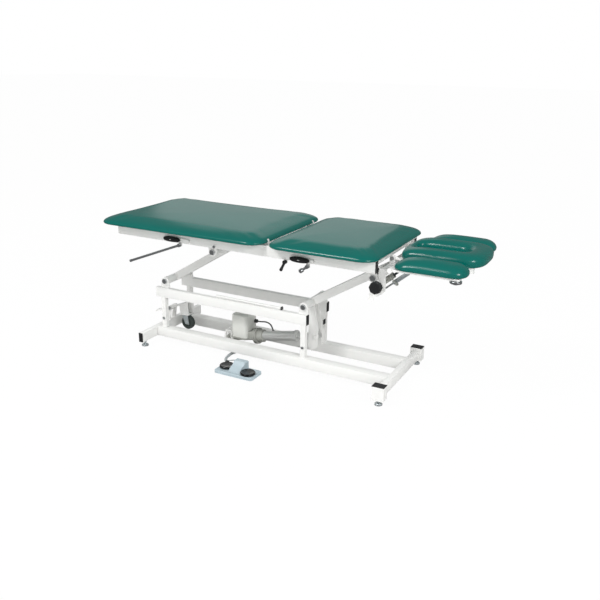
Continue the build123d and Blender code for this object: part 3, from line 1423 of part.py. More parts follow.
def caster():
    """The foot-operated arm, its swivelling fork and the wheel."""
    half = caster_arm_width / 2
    px, pz = caster_pivot_x, caster_pivot_height
    t = caster_arm_thickness
    slope_x = px + caster_arm_reach
    slope_z = pz + caster_arm_rise
    arm = side_plate(
        [(px, pz - t / 2), (slope_x, slope_z - t / 2), (slope_x, slope_z + t / 2), (px, pz + t / 2)],
        -half, half,
    )
    tongue = side_plate(
        [(px, pz - t / 2), (px, pz + t / 2),
         (px - caster_tongue_reach, pz - caster_tongue_drop + t / 2),
         (px - caster_tongue_reach, pz - caster_tongue_drop - t / 2)], -half, half,
    )
    boss = bar((px, -half, pz), (px, half, pz), lever_pin_diameter)
    plate_half = caster_plate_size / 2
    fall = caster_arm_rise * caster_plate_size / caster_arm_reach
    cheeks = []
    for side in (-1, 1):
        y = side * (half - thin_plate / 2)
        cheek = side_plate(
            [(caster_stem_x - plate_half, caster_plate_height),
             (caster_stem_x + plate_half, caster_plate_height), (slope_x - tube_wall, slope_z - t / 2),
             (slope_x - caster_plate_size, slope_z - t / 2 - fall)],
            y - thin_plate / 2, y + thin_plate / 2,
        )
        cheeks.append(cheek)
    plate = block(
        caster_stem_x - plate_half, caster_stem_x + plate_half, -plate_half, plate_half,
        caster_plate_height - thin_plate, caster_plate_height,
    )
    plate = fillet(plate.edges().filter_by(Axis.Z), radius=thin_plate)
    arm = arm + tongue + boss + cheeks[0] + cheeks[1] + plate
    arm -= bar((px, -half * 2, pz), (px, half * 2, pz), lever_pin_diameter / 2 + fit_clearance)
    stem_hole = caster_axle_diameter / 2 + fit_clearance
    arm -= bar(
        (caster_stem_x, 0, caster_plate_height - thin_plate * 2),
        (caster_stem_x, 0, caster_plate_height + thin_plate), stem_hole,
    )
    keep("caster_arm", arm)

    wheel_r = caster_wheel_diameter / 2
    top = caster_plate_height - thin_plate - soft_gap
    race_r = caster_plate_size / 2 - thin_plate
    race = bar((caster_stem_x, 0, top - thin_plate), (caster_stem_x, 0, top), race_r)
    stem = bar(
        (caster_stem_x, 0, top), (caster_stem_x, 0, caster_plate_height + thin_plate / 2),
        caster_axle_diameter / 2,
    )
    leg_y = caster_wheel_width / 2 + caster_fork_gap
    crown = block(
        caster_stem_x - race_r * 0.8, caster_stem_x + race_r * 0.8, -(leg_y + caster_fork_plate),
        leg_y + caster_fork_plate, top - thin_plate - caster_fork_plate, top - thin_plate,
    )
    leg = side_plate(
        [(caster_stem_x - race_r * 0.8, top - thin_plate), (caster_stem_x + race_r * 0.8, top - thin_plate),
         (caster_wheel_x + caster_axle_diameter * 2, caster_wheel_height - caster_axle_diameter),
         (caster_wheel_x - caster_axle_diameter, caster_wheel_height - caster_axle_diameter)],
        -(leg_y + caster_fork_plate), -leg_y,
    )
    axle = bar(
        (caster_wheel_x, -(leg_y + caster_fork_plate), caster_wheel_height),
        (caster_wheel_x, leg_y + caster_fork_plate, caster_wheel_height), caster_axle_diameter / 2,
    )
    nuts = Pos(caster_wheel_x, 0, caster_wheel_height) * both_heads(
        0, 0, leg_y + caster_fork_plate, caster_axle_diameter
    )
    keep("caster_fork", race + stem + crown + leg + mirror_y(leg) + axle + nuts)

    wheel = Rot(90, 0, 0) * Cylinder(wheel_r, caster_wheel_width)
    wheel = fillet(wheel.edges(), radius=caster_wheel_width / 5)
    for side in (-1, 1):
        wheel -= Pos(0, side * caster_wheel_width / 2, 0) * Rot(90, 0, 0) * (
            Cylinder(wheel_r * 0.66, thin_plate) - Cylinder(wheel_r * 0.3, thin_plate)
        )
    wheel -= Rot(90, 0, 0) * Cylinder(caster_axle_diameter / 2 + fit_clearance, caster_wheel_width * 2)
    keep("caster_wheel", Pos(caster_wheel_x, 0, caster_wheel_height) * wheel)


def foot_switch():
    """A low plate with a raised middle, two round pedals, a gland, a sleeve and a cable."""
    z0 = switch_plate_lift
    mid_y = (switch_front + switch_back) / 2
    plate = Pos(switch_mid_x, mid_y, z0) * extrude(
        RectangleRounded(switch_right - switch_left, switch_back - switch_front, switch_corner),
        amount=switch_plate_height - z0,
    )
    plate = fillet(plate.faces().sort_by(Axis.Z)[-1].edges(), radius=thin_plate * 0.8)
    hump_front = switch_front + switch_corner
    hump_back = switch_back - thin_plate
    hump = side_profile_y(
        [(hump_front, switch_plate_height - tube_wall),
         (hump_front + switch_hump_height * hump_front_share, switch_hump_height * hump_knee_share),
         (hump_back - switch_hump_height * hump_top_share, switch_hump_height),
         (hump_back - thin_plate, switch_hump_height), (hump_back, switch_hump_height - thin_plate),
         (hump_back, switch_plate_height - tube_wall)],
        switch_mid_x - switch_hump_width / 2, switch_mid_x + switch_hump_width / 2,
    )
    hump = chamfer(hump.edges().filter_by(Axis.Y).group_by(Axis.Z)[-1], length=thin_plate)
    pads = None
    for dx in (-1, 1):
        for dy in (-1, 1):
            x = switch_mid_x + dx * ((switch_right - switch_left) / 2 - switch_corner * 1.5)
            y = mid_y + dy * ((switch_back - switch_front) / 2 - switch_corner * 1.5)
            pad = bar((x, y, 0), (x, y, z0), switch_corner * 0.7)
            pads = pad if pads is None else pads + pad
    wells = []
    pedals = []
    pedal_z = switch_plate_height + pedal_gap
    for sign in (-1, 1):
        x = switch_mid_x + sign * pedal_place
        y = mid_y - pedal_forward - sign * pedal_stagger
        pedals.append((x, y))
        wells.append(
            bar(
                (x, y, switch_plate_height - pedal_stem_depth - side_gap),
                (x, y, switch_plate_height + cut_overrun), pedal_stem_diameter / 2 + side_gap,
            )
        )
    housing = plate + hump + pads
    for well in wells:
        housing -= well
    for x, y in pedals:
        housing -= bar(
            (x, y, switch_plate_height), (x, y, switch_hump_height + cut_overrun),
            pedal_diameter / 2 + side_gap,
        )
    keep("foot_switch_housing", housing)
    for name, (x, y) in zip(("pedal_lower", "pedal_raise"), pedals):
        disc = bar((x, y, pedal_z), (x, y, pedal_z + pedal_height), pedal_diameter / 2)
        disc = fillet(disc.edges().group_by(Axis.Z)[-1], radius=pedal_height * 0.45)
        dish = Pos(x, y, pedal_z + pedal_height + dish_radius - dish_depth) * Sphere(dish_radius)
        stem = bar(
            (x, y, switch_plate_height - pedal_stem_depth + pedal_travel),
            (x, y, pedal_z + tube_wall), pedal_stem_diameter / 2,
        )
        keep(name, (disc - dish) + stem)
    start = Vector(*sleeve_route[0])
    gland_end = start + (start - Vector(*sleeve_route[1])).normalized() * gland_length
    gland = bar(tuple(gland_end), tuple(start), gland_diameter / 2) - housing
    rail_x, rail_y, rail_z = sleeve_route[-1]
    rail_gland = bar(
        (rail_x, -(base_rail_offset - rail_square / 2), rail_z), (rail_x, rail_y, rail_z),
        gland_diameter / 2,
    )
    keep("switch_gland", gland, rail_gland)
    keep("switch_sleeve", lead_tube(sleeve_route, sleeve_diameter))
    keep("switch_cable", lead_tube(cable_route, cable_diameter))


def side_profile_y(points, x0, x1):
    """A solid with an outline in the YZ plane, between two places in X."""
    outline = make_face(Polyline(*points, close=True))
    return Pos(x0, 0, 0) * extrude(Plane.YZ * outline, amount=x1 - x0, dir=(1, 0, 0))


base_frame()
base_caps()
levellers()
base_pivots()
actuator_bracket()
conduit_tube()
lift_arm("foot_arm", foot_pivot_x, foot_upper_x)
lift_arm("head_arm", head_pivot_x, head_upper_x)
lever_plates()
actuator()
top_frame()
leg_section()
mid_section()
head_pad()
head_frame()
head_struts()
arm_rest("right", -1)
arm_rest("left", 1)
paddle("leg_paddle", leg_paddle_x, paddle_level, leg_paddle_arm)
paddle("mid_paddle", mid_paddle_x, mid_paddle_level, mid_paddle_arm)
hub_lever("leg_release_rod", leg_rod_x, tab_drop, leg_rod_run, leg_rod_drop, leg_rod_tip)
hub_lever("mid_ball_lever", ball_lever_x, tab_drop, ball_lever_run, ball_lever_drop, ball_diameter)
hub_lever("mid_release_rod", short_rod_x, mid_hub_drop, short_rod_run, short_rod_drop, short_rod_knob)
caster()
foot_switch()

os.makedirs("parts", exist_ok=True)
for name, solids in parts.items():
    body = solids[0] if len(solids) == 1 else Compound(children=[Part() + s for s in solids])
    export_step(body, os.path.join("parts", name + ".step"))
print(len(parts), "nodes")
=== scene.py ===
"""Visual model of a treatment table with a powered lift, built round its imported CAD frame.

Row frame: +X towards the head end, -Y towards the side with the handles, +Z up, metres.
Each sub-assembly is a class that holds its sizes and dresses its pieces.
"""

import itertools
import json
import logging
import math
from dataclasses import dataclass
from enum import Enum
from typing import Any

import bmesh
import bpy
import numpy as np
from mathutils import Matrix, Vector

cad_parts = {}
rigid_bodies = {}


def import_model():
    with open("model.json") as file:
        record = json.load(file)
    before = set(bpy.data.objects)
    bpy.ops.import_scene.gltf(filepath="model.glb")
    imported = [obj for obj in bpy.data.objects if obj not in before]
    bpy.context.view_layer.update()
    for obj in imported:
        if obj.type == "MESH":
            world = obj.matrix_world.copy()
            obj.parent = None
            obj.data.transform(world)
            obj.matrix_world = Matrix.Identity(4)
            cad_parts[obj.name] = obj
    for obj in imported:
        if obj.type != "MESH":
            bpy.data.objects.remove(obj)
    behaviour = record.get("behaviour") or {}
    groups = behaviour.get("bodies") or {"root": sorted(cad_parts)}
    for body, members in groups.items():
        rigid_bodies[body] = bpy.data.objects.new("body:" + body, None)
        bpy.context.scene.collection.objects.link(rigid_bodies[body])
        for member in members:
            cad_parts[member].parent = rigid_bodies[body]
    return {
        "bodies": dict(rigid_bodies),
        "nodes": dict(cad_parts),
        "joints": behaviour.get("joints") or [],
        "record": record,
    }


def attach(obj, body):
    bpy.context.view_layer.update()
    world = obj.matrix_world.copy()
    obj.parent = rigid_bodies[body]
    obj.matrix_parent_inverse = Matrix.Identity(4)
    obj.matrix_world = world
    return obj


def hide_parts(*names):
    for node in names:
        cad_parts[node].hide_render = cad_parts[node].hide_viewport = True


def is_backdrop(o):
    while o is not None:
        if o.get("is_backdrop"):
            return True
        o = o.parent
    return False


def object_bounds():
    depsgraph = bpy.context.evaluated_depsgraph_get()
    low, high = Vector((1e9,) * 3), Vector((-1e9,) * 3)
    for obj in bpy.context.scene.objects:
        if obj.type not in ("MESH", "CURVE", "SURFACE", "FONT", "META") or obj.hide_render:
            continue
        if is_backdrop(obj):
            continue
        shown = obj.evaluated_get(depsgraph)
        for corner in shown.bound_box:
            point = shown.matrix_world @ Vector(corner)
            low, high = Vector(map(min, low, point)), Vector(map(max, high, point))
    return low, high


LOG = logging.getLogger("treatment_table")
MM = 0.001
WELD_MM = 0.02
QUARTER_TURN = math.pi / 2
FULL_TURN = 2 * math.pi

# How a skin is pressed out: steps of the cloth run, pressure inside, and the cover's stiffness
# against stretch and against bending.
SWELL_FRAMES = 20
SWELL_PRESSURE = 4.0
SKIN_STRETCH = 25.0
SKIN_BEND = 2.0

# Faces that meet at less than this angle are shaded as one surface.
SMOOTH_BELOW = math.radians(50.0)
COAT_ROUGHNESS = 0.12

Link = tuple[bpy.types.Node, str]


def mm(*values: float) -> tuple[float, ...]:
    """Millimetres as metres."""
    return tuple(value * MM for value in values)


def linear(code: str) -> tuple[float, float, float, float]:
    """Turn an sRGB hex colour into linear RGBA.

    Args:
        code: six hex digits after a hash.

    Returns:
        Red, green, blue and an alpha of one, each from 0 to 1.
    """
    shares = np.array([int(code[i : i + 2], 16) for i in (1, 3, 5)]) / 255.0
    curve = np.where(shares <= 0.04045, shares / 12.92, ((shares + 0.055) / 1.055) ** 2.4)
    return (*map(float, curve), 1.0)


def add_node(
    tree: bpy.types.NodeTree,
    kind: str,
    inputs: dict[str | int, Any] | None = None,
    **settings: Any,
) -> bpy.types.Node:
    """Add one shader node, give it its settings, and fill or link its inputs.

    Args:
        tree: the node tree.
        kind: Blender's name for the node's type.
        inputs: a value for each socket, or a (node, output name) pair to link.
        settings: the node's own properties.

    Returns:
        The new node.
    """
    node = tree.nodes.new(kind)
    for name, value in settings.items():
        setattr(node, name, value)
    for name, value in (inputs or {}).items():
        linked = isinstance(value, tuple) and isinstance(value[0], bpy.types.Node)
        if linked:
            tree.links.new(value[0].outputs[value[1]], node.inputs[name])
        else:
            node.inputs[name].default_value = value
    return node


class Relief(Enum):
    """The fine relief that a finish has."""

    NONE = "smooth"
    GRAIN = "embossed vinyl grain"
    PEEL = "orange peel of powder coat"
    CAST = "sand-cast skin"
    DRAWN = "drawn or turned lines"
    SPARK = "spark-eroded mould texture"


@dataclass(frozen=True)
class Finish:
    """One real material and how its surface was made.

    grain_mm is the width of one cell of the relief and depth_mm its height. tone is how far
    the colour drifts, as a share of its lightness, over patches of patch_mm.
    """

    name: str
    colour: str
    roughness: float
    metallic: float = 0.0
    ior: float = 1.5
    specular: float = 0.5
    coat: float = 0.0
    relief: Relief = Relief.NONE
    grain_mm: float = 1.0
    depth_mm: float = 0.02
    tone: float = 0.0
    patch_mm: float = 60.0

    def material(self) -> bpy.types.Material:
        """Build the material once and hand back the same one afterwards.

        Returns:
            The Blender material.
        """
        known = bpy.data.materials.get(self.name)
        if known is not None:
            return known
        made = bpy.data.materials.new(self.name)
        made.use_nodes = True
        tree = made.node_tree
        tree.nodes.clear()
        place = add_node(tree, "ShaderNodeTexCoord")
        shader = add_node(
            tree,
            "ShaderNodeBsdfPrincipled",
            {
                "Base Color": linear(self.colour),
                "Roughness": self.roughness,
                "Metallic": self.metallic,
                "IOR": self.ior,
                "Specular IOR Level": self.specular,
                "Coat Weight": self.coat,
                "Coat Roughness": COAT_ROUGHNESS,
            },
        )
        if self.tone:
            self._drift(tree, place, shader)
        if self.relief is not Relief.NONE:
            self._raise_relief(tree, place, shader)
        add_node(tree, "ShaderNodeOutputMaterial", {"Surface": (shader, "BSDF")})
        return made

    def _drift(
        self, tree: bpy.types.NodeTree, place: bpy.types.Node, shader: bpy.types.Node
    ) -> None:
        """Let the colour drift a little over wide patches, as wear and handling leave it.

        Args:
            tree: the material's node tree.
            place: the node that gives the place on the object.
            shader: the node that takes the colour.
        """
        patch = add_node(
            tree,
            "ShaderNodeTexNoise",
            {"Vector": (place, "Object"), "Scale": 1.0 / (self.patch_mm * MM), "Detail": 3.0},
        )
        base = np.array(linear(self.colour))
        ramp = add_node(tree, "ShaderNodeValToRGB", {"Fac": (patch, "Fac")})
        for stop, gain in zip(ramp.color_ramp.elements, (1.0 - self.tone, 1.0 + self.tone)):
            stop.color = (*np.clip(base[:3] * gain, 0.0, 1.0), 1.0)
        ramp.color_ramp.elements[0].position = 0.3
        ramp.color_ramp.elements[1].position = 0.7
        tree.links.new(ramp.outputs["Color"], shader.inputs["Base Color"])

    def _raise_relief(
        self, tree: bpy.types.NodeTree, place: bpy.types.Node, shader: bpy.types.Node
    ) -> None:
        """Add the fine relief as bump, at its real width.

        Args:
            tree: the material's node tree.
            place: the node that gives the place on the object.
            shader: the node that takes the bump.
        """
        scale = 1.0 / (self.grain_mm * MM)
        if self.relief is Relief.GRAIN:
            cells = add_node(
                tree,
                "ShaderNodeTexVoronoi",
                {"Vector": (place, "Object"), "Scale": scale, "Randomness": 1.0},
                feature="SMOOTH_F1",
            )
            height: Link = (cells, "Distance")
        elif self.relief is Relief.DRAWN:
            stretch = add_node(
                tree, "ShaderNodeMapping", {"Vector": (place, "Object"), "Scale": (0.06, 1.0, 1.0)}
            )
            lines = add_node(
                tree,
                "ShaderNodeTexNoise",
                {"Vector": (stretch, "Vector"), "Scale": scale, "Detail": 2.0},
            )
            height = (lines, "Fac")
        else:
            detail = {Relief.PEEL: 1.0, Relief.CAST: 4.0, Relief.SPARK: 2.0}[self.relief]
            skin = add_node(
                tree,
                "ShaderNodeTexNoise",
                {"Vector": (place, "Object"), "Scale": scale, "Detail": detail},
            )
            height = (skin, "Fac")
        bump = add_node(
            tree,
            "ShaderNodeBump",
            {"Height": height, "Distance": self.depth_mm * MM, "Strength": 1.0},
        )
        tree.links.new(bump.outputs["Normal"], shader.inputs["Normal"])


# Polyester powder coat on steel: hard, pale, an even semi-gloss with a faint orange peel.
POWDER_COAT = Finish(
    "white polyester powder coat", "#E9E9E7", 0.38, relief=Relief.PEEL, grain_mm=2.4,
    depth_mm=0.02, tone=0.012, patch_mm=160.0,
)
# Expanded vinyl upholstery: a tight skin with a soft gloss; the grain is drawn coarser
# than its real 0.8 mm so that it shows at all.
VINYL = Finish(
    "expanded vinyl upholstery", "#005E56", 0.23, specular=0.46, relief=Relief.GRAIN,
    grain_mm=1.5, depth_mm=0.04, tone=0.03, patch_mm=220.0,
)
# Moulded polyethylene caps and grips: black with a dull, finely eroded surface.
POLYETHYLENE = Finish(
    "black moulded polyethylene", "#1B1C1E", 0.48, relief=Relief.SPARK, grain_mm=0.9, depth_mm=0.02
)
# Moulded rubber: matte, dark grey with a green cast.
RUBBER = Finish(
    "moulded rubber", "#39413F", 0.72, relief=Relief.SPARK, grain_mm=1.4, depth_mm=0.03, tone=0.05
)
# Zinc plating over steel: pale with a cold cast and a satin sheen.
ZINC = Finish(
    "zinc-plated steel", "#C2C9CC", 0.36, metallic=0.7, relief=Relief.SPARK, grain_mm=1.2,
    depth_mm=0.01, tone=0.05, patch_mm=18.0,
)
# Bright bar stock, turned: fine lines along the bar.
BRIGHT_STEEL = Finish(
    "turned bright steel", "#C4C7C9", 0.28, metallic=1.0, relief=Relief.DRAWN, grain_mm=0.8,
    depth_mm=0.008,
)
# Hard chrome on the gas spring's rod.
CHROME = Finish("hard chrome plate", "#D5D8DA", 0.12, metallic=1.0)
# Oxide-blackened steel rod.
BLACK_OXIDE = Finish("black oxide steel", "#4A5155", 0.36, metallic=0.85)
# Extruded aluminium, satin anodised, with faint lines along it.
ALUMINIUM = Finish(
    "satin anodised aluminium", "#DADBD9", 0.36, metallic=0.6, relief=Relief.DRAWN, grain_mm=0.9,
    depth_mm=0.012,
)
# Die-cast zinc, painted grey.
CASTING = Finish(
    "painted die casting", "#A3A49E", 0.5, relief=Relief.CAST, grain_mm=1.1, depth_mm=0.04,
    tone=0.05,
)
# Moulded ABS of the motor cover: pale grey-beige, satin.
MOTOR_ABS = Finish(
    "moulded grey ABS", "#D6D7D2", 0.44, relief=Relief.SPARK, grain_mm=1.0, depth_mm=0.02,
    tone=0.02,
)
# Glass-filled polyamide of the foot switch: pale blue-grey.
SWITCH_POLYAMIDE = Finish(
    "pale polyamide", "#AEBDC4", 0.36, relief=Relief.SPARK, grain_mm=1.0, depth_mm=0.02, tone=0.02
)
# Glossy polycarbonate pedals.
PEDAL_POLYCARBONATE = Finish("black polycarbonate", "#0E1214", 0.22, ior=1.585, coat=0.06)
# Plasticised PVC jackets of the sleeve and the lead.
SLEEVE_PVC = Finish("grey PVC sleeve", "#A8AEB0", 0.42, tone=0.03, patch_mm=30.0)
LEAD_PVC = Finish("dark PVC jacket", "#2B2D2E", 0.45)

SLOT_FINISH: dict[str, Finish] = {
    "white_steel": POWDER_COAT,
    "black_plastic": POLYETHYLENE,
    "black_rubber": RUBBER,
    "zinc": ZINC,
    "steel_pin": BRIGHT_STEEL,
    "alloy_tube": ALUMINIUM,
    "grey_casting": CASTING,
    "motor_grey": MOTOR_ABS,
    "teal_vinyl": VINYL,
    "switch_grey": SWITCH_POLYAMIDE,
    "pedal_black": PEDAL_POLYCARBONATE,
    "sleeve_grey": SLEEVE_PVC,
    "cable_dark": LEAD_PVC,
    "chrome": CHROME,
    "steel_dark": BLACK_OXIDE,
}


def new_object(name: str, mesh: bpy.types.Mesh, finish: Finish) -> bpy.types.Object:
    """Link a mesh into the scene as an object at the origin, with its finish.

    Args:
        name: the object's name.
        mesh: its mesh.
        finish: its finish, which takes the place of any other.

    Returns:
        The new object.
    """
    made = bpy.data.objects.new(name, mesh)
    bpy.context.scene.collection.objects.link(made)
    mesh.materials.clear()
    mesh.materials.append(finish.material())
    return made


def bare_object(
    name: str, points: list[tuple[float, ...]], faces: list[tuple[int, ...]]
) -> bpy.types.Object:
    """Link an object without a finish, with its faces turned outwards.

    Args:
        name: the name of the object and of its mesh.
        points: its points, in metres.
        faces: for each face, the places of its corners in the list of points.

    Returns:
        The new object.
    """
    mesh = bpy.data.meshes.new(name)
    mesh.from_pydata(points, [], faces)
    work = bmesh.new()
    work.from_mesh(mesh)
    bmesh.ops.recalc_face_normals(work, faces=work.faces)
    work.to_mesh(mesh)
    work.free()
    made = bpy.data.objects.new(name, mesh)
    bpy.context.scene.collection.objects.link(made)
    return made


def grid_mesh(name: str, points: np.ndarray, ring: bool = False) -> bpy.types.Mesh:
    """Make a quad mesh from a grid of points whose rows run once round.

    The grid has shape (rows, columns, 3). Face (i, j) joins points (i, j), (i, j+1),
    (i+1, j+1) and (i+1, j). The last column joins the first, and in a ring so does the last
    row. Rows that fall on one point are welded, and faces are turned outwards.

    Args:
        name: the mesh's name.
        points: the grid, in metres.
        ring: whether the last row joins the first.

    Returns:
        The mesh, smooth shaded.
    """
    rows, columns = points.shape[:2]
    i, j = np.meshgrid(np.arange(rows if ring else rows - 1), np.arange(columns), indexing="ij")
    after_i, after_j = (i + 1) % rows, (j + 1) % columns
    corners = [i * columns + j, i * columns + after_j, after_i * columns + after_j]
    corners.append(after_i * columns + j)
    faces = np.stack([c.ravel() for c in corners], axis=1)
    mesh = bpy.data.meshes.new(name)
    mesh.from_pydata(points.reshape(-1, 3).tolist(), [], faces.tolist())
    return tidy_mesh(mesh)


def tidy_mesh(mesh: bpy.types.Mesh) -> bpy.types.Mesh:
    """Weld doubled points, turn the faces outwards and shade them smooth.

    Args:
        mesh: the mesh, changed in place.

    Returns:
        The same mesh.
    """
    work = bmesh.new()
    work.from_mesh(mesh)
    bmesh.ops.remove_doubles(work, verts=work.verts, dist=WELD_MM * MM)
    bmesh.ops.dissolve_degenerate(work, edges=work.edges, dist=WELD_MM * MM)
    bmesh.ops.recalc_face_normals(work, faces=work.faces)
    work.to_mesh(mesh)
    work.free()
    mesh.shade_smooth()
    return mesh


def bake(thing: bpy.types.Object) -> None:
    """Apply all of an object's modifiers to its mesh and shade it smooth.

    Args:
        thing: the object, changed in place.
    """
    graph = bpy.context.evaluated_depsgraph_get()
    mesh = bpy.data.meshes.new_from_object(thing.evaluated_get(graph))
    thing.modifiers.clear()
    thing.data = mesh
    mesh.shade_smooth()


def coordinates(mesh: bpy.types.Mesh) -> np.ndarray:
    """Read all of a mesh's points.

    Args:
        mesh: the mesh.

    Returns:
        Array of shape (count, 3).
    """
    flat = np.empty(len(mesh.vertices) * 3, dtype=np.float32)
    mesh.vertices.foreach_get("co", flat)
    return flat.reshape(-1, 3)


def rounded_outline(half_x: float, half_y: float, radius: float, steps: int) -> np.ndarray:
    """Outline of a rectangle with round corners, run anticlockwise from the +X side.

    Each corner is a quarter circle about (half_x - radius, half_y - radius), and each side
    between two corners is a straight run, all cut into the same number of steps.

    Args:
        half_x: half its length.
        half_y: half its width.
        radius: radius of its corners.
        steps: points on each corner and on each side.

    Returns:
        Array of shape (8 * steps, 2).
    """
    signs = np.array([(1, 1), (-1, 1), (-1, -1), (1, -1)])
    centres = signs * np.array([half_x - radius, half_y - radius])
    turn = np.linspace(0.0, QUARTER_TURN, steps + 1)
    arcs = []
    for quarter, centre in enumerate(centres):
        angle = turn + quarter * QUARTER_TURN
        arcs.append(centre + radius * np.stack([np.cos(angle), np.sin(angle)], axis=1))
    share = np.linspace(0.0, 1.0, steps, endpoint=False)[:, None]
    runs = [
        arc[-1] * (1 - share) + after[0] * share for arc, after in zip(arcs, arcs[1:] + arcs[:1])
    ]
    return np.concatenate([piece for arc, run in zip(arcs, runs) for piece in (arc[:-1], run)])


def lowered_end(
    grid: np.ndarray, start: float, length: float, share: float, bottom: float
) -> np.ndarray:
    """Lower a pad towards its table end, as the foam is cut there.

    A height h above the board becomes h * (1 - share * (1 - s) ** 2), where s runs from 0 at
    the pad's end to 1 where the cut ends.

    Args:
        grid: points of the pad in millimetres, with a last axis of three.
        start: X of the pad's table end.
        length: how far the cut reaches.
        share: how much of the height is gone at the end.
        bottom: Z of the board.

    Returns:
        The grid with its heights changed.
    """
    along = np.clip((grid[..., 0] - start) / length, 0.0, 1.0)
    kept = 1.0 - share * (1.0 - along) ** 2
    lowered = grid.copy()
    lowered[..., 2] = bottom + (grid[..., 2] - bottom) * kept
    return lowered


@dataclass(frozen=True)
class Pocket:
    """A recess in a pad's underside about a hinge ear.

    It is an arch of radius arch_mm about the hinge line, open below. Towards the pad's end it
    runs out at the height lip_mm over the hinge line. It lies between y0_mm and y1_mm, and its
    cutter passes the pad by clear_mm.
    """

    hinge_mm: float
    end_mm: float
    y0_mm: float
    y1_mm: float
    arch_mm: float
    lip_mm: float
    hinge_level_mm: float = 668.0
    clear_mm: float = 6.0
    arch_steps: int = 17


@dataclass
class Cushion:
    """A padded piece: a shape stuffed with foam under a tight skin.

    cap_mm is how far the pressed skin may swell, and board_mm the height of the pinned band
    where the cover is stapled to its board. even_passes is how often the skin is smoothed, and
    ring tells a pad that closes round an opening. fill, the share that foam takes up, is not used.
    """

    name: str
    node: str
    body: str
    bottom_mm: float
    cap_mm: float = 3.0
    even_passes: int = 16
    voxel_mm: float = 4.0
    board_mm: float = 6.0
    subdivide: bool = True
    ring: bool = False
    fill: float = 0.85
    pockets: tuple[Pocket, ...] = ()

    def surface(self) -> np.ndarray:
        """Work out the grid of points before the cushion swells; each kind gives its own.

        Returns:
            Array of shape (rows, columns, 3), in metres.
        """
        raise NotImplementedError

    def build(self) -> bpy.types.Object:
        """Returns:
            The finished object, in place of its CAD node.
        """
        mesh = grid_mesh(self.name, self.surface(), self.ring)
        made = new_object(self.name, mesh, VINYL)
        self._swell(made)
        self._cut_pockets(made)
        made.data.materials.clear()
        made.data.materials.append(VINYL.material())
        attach(made, self.body)
        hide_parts(self.node)
        LOG.info("cushion %s: %d faces", self.name, len(made.data.polygons))
        return made

    def _cut_pockets(self, made: bpy.types.Object) -> None:
        """Cut the recesses that clear the hinge ears out of the underside.

        Args:
            made: the swollen cushion, changed in place.
        """
        cutters = [self._cutter(pocket) for pocket in self.pockets]
        for cutter in cutters:
            cut = made.modifiers.new("pocket", "BOOLEAN")
            cut.operation, cut.solver, cut.object = "DIFFERENCE", "EXACT", cutter
        if cutters:
            bake(made)
            made.data.set_sharp_from_angle(angle=SMOOTH_BELOW)
        for cutter in cutters:
            bpy.data.objects.remove(cutter)

    def _cutter(self, pocket: Pocket) -> bpy.types.Object:
        """Make the solid that cuts one recess out of the pad.

        Args:
            pocket: the recess.

        Returns:
            The cutter, which reaches a little below the pad.
        """
        low = self.bottom_mm - pocket.clear_mm
        lip = pocket.hinge_level_mm + pocket.lip_mm
        arch = [
            (
                pocket.hinge_mm + pocket.arch_mm * math.cos(angle),
                pocket.hinge_level_mm + pocket.arch_mm * math.sin(angle),
            )
            for angle in np.linspace(math.pi, 0.0, pocket.arch_steps)
            if angle > QUARTER_TURN or pocket.arch_mm * math.sin(angle) > pocket.lip_mm
        ]
        mouth = pocket.end_mm + pocket.clear_mm
        outline = [(pocket.hinge_mm - pocket.arch_mm, low), *arch]
        outline += [(arch[-1][0], lip), (mouth, lip), (mouth, low)]
        count = len(outline)
        points = [mm(x, y, z) for y in (pocket.y0_mm, pocket.y1_mm) for x, z in outline]
        sides = [(i, (i + 1) % count, count + (i + 1) % count, count + i) for i in range(count)]
        faces = [tuple(range(count)), tuple(range(2 * count - 1, count - 1, -1)), *sides]
        return bare_object("pocket", points, faces)

    def _pinned(self, points: np.ndarray) -> np.ndarray:
        """Which points are held by the board."""
        return points[:, 2] < (self.bottom_mm + self.board_mm) * MM

    def _swell(self, made: bpy.types.Object) -> None:
        """Remesh the skin, press it out as cloth, cap the travel and smooth the result.

        Args:
            made: the cushion, changed in place.
        """
        skin = made.modifiers.new("skin", "REMESH")
        skin.mode, skin.voxel_size = "VOXEL", self.voxel_mm * MM
        bake(made)
        start = coordinates(made.data)
        board = made.vertex_groups.new(name="board")
        board.add(np.nonzero(self._pinned(start))[0].tolist(), 1.0, "REPLACE")
        filling = made.modifiers.new("filling", "CLOTH")
        filling.settings.quality = 4
        filling.settings.tension_stiffness = SKIN_STRETCH
        filling.settings.compression_stiffness = SKIN_STRETCH
        filling.settings.bending_stiffness = SKIN_BEND
        filling.settings.use_pressure = True
        filling.settings.uniform_pressure_force = SWELL_PRESSURE
        filling.settings.effector_weights.gravity = 0.0
        filling.settings.vertex_group_mass = "board"
        filling.point_cache.frame_start, filling.point_cache.frame_end = 1, SWELL_FRAMES
        scene = bpy.context.scene
        for frame in range(1, SWELL_FRAMES + 1):
            scene.frame_set(frame)
        bake(made)
        scene.frame_set(1)
        travel = coordinates(made.data) - start
        far = np.linalg.norm(travel, axis=1, keepdims=True)
        cap = self.cap_mm * MM
        settled = start + travel * np.minimum(1.0, cap / np.maximum(far, 1e-9))
        made.data.vertices.foreach_set("co", settled.astype(np.float32).ravel())
        made.vertex_groups.clear()
        even = made.modifiers.new("even", "SMOOTH")
        even.factor, even.iterations = 0.5, self.even_passes
        if self.subdivide:
            fine = made.modifiers.new("fine", "SUBSURF")
            fine.levels = fine.render_levels = 1
        bake(made)


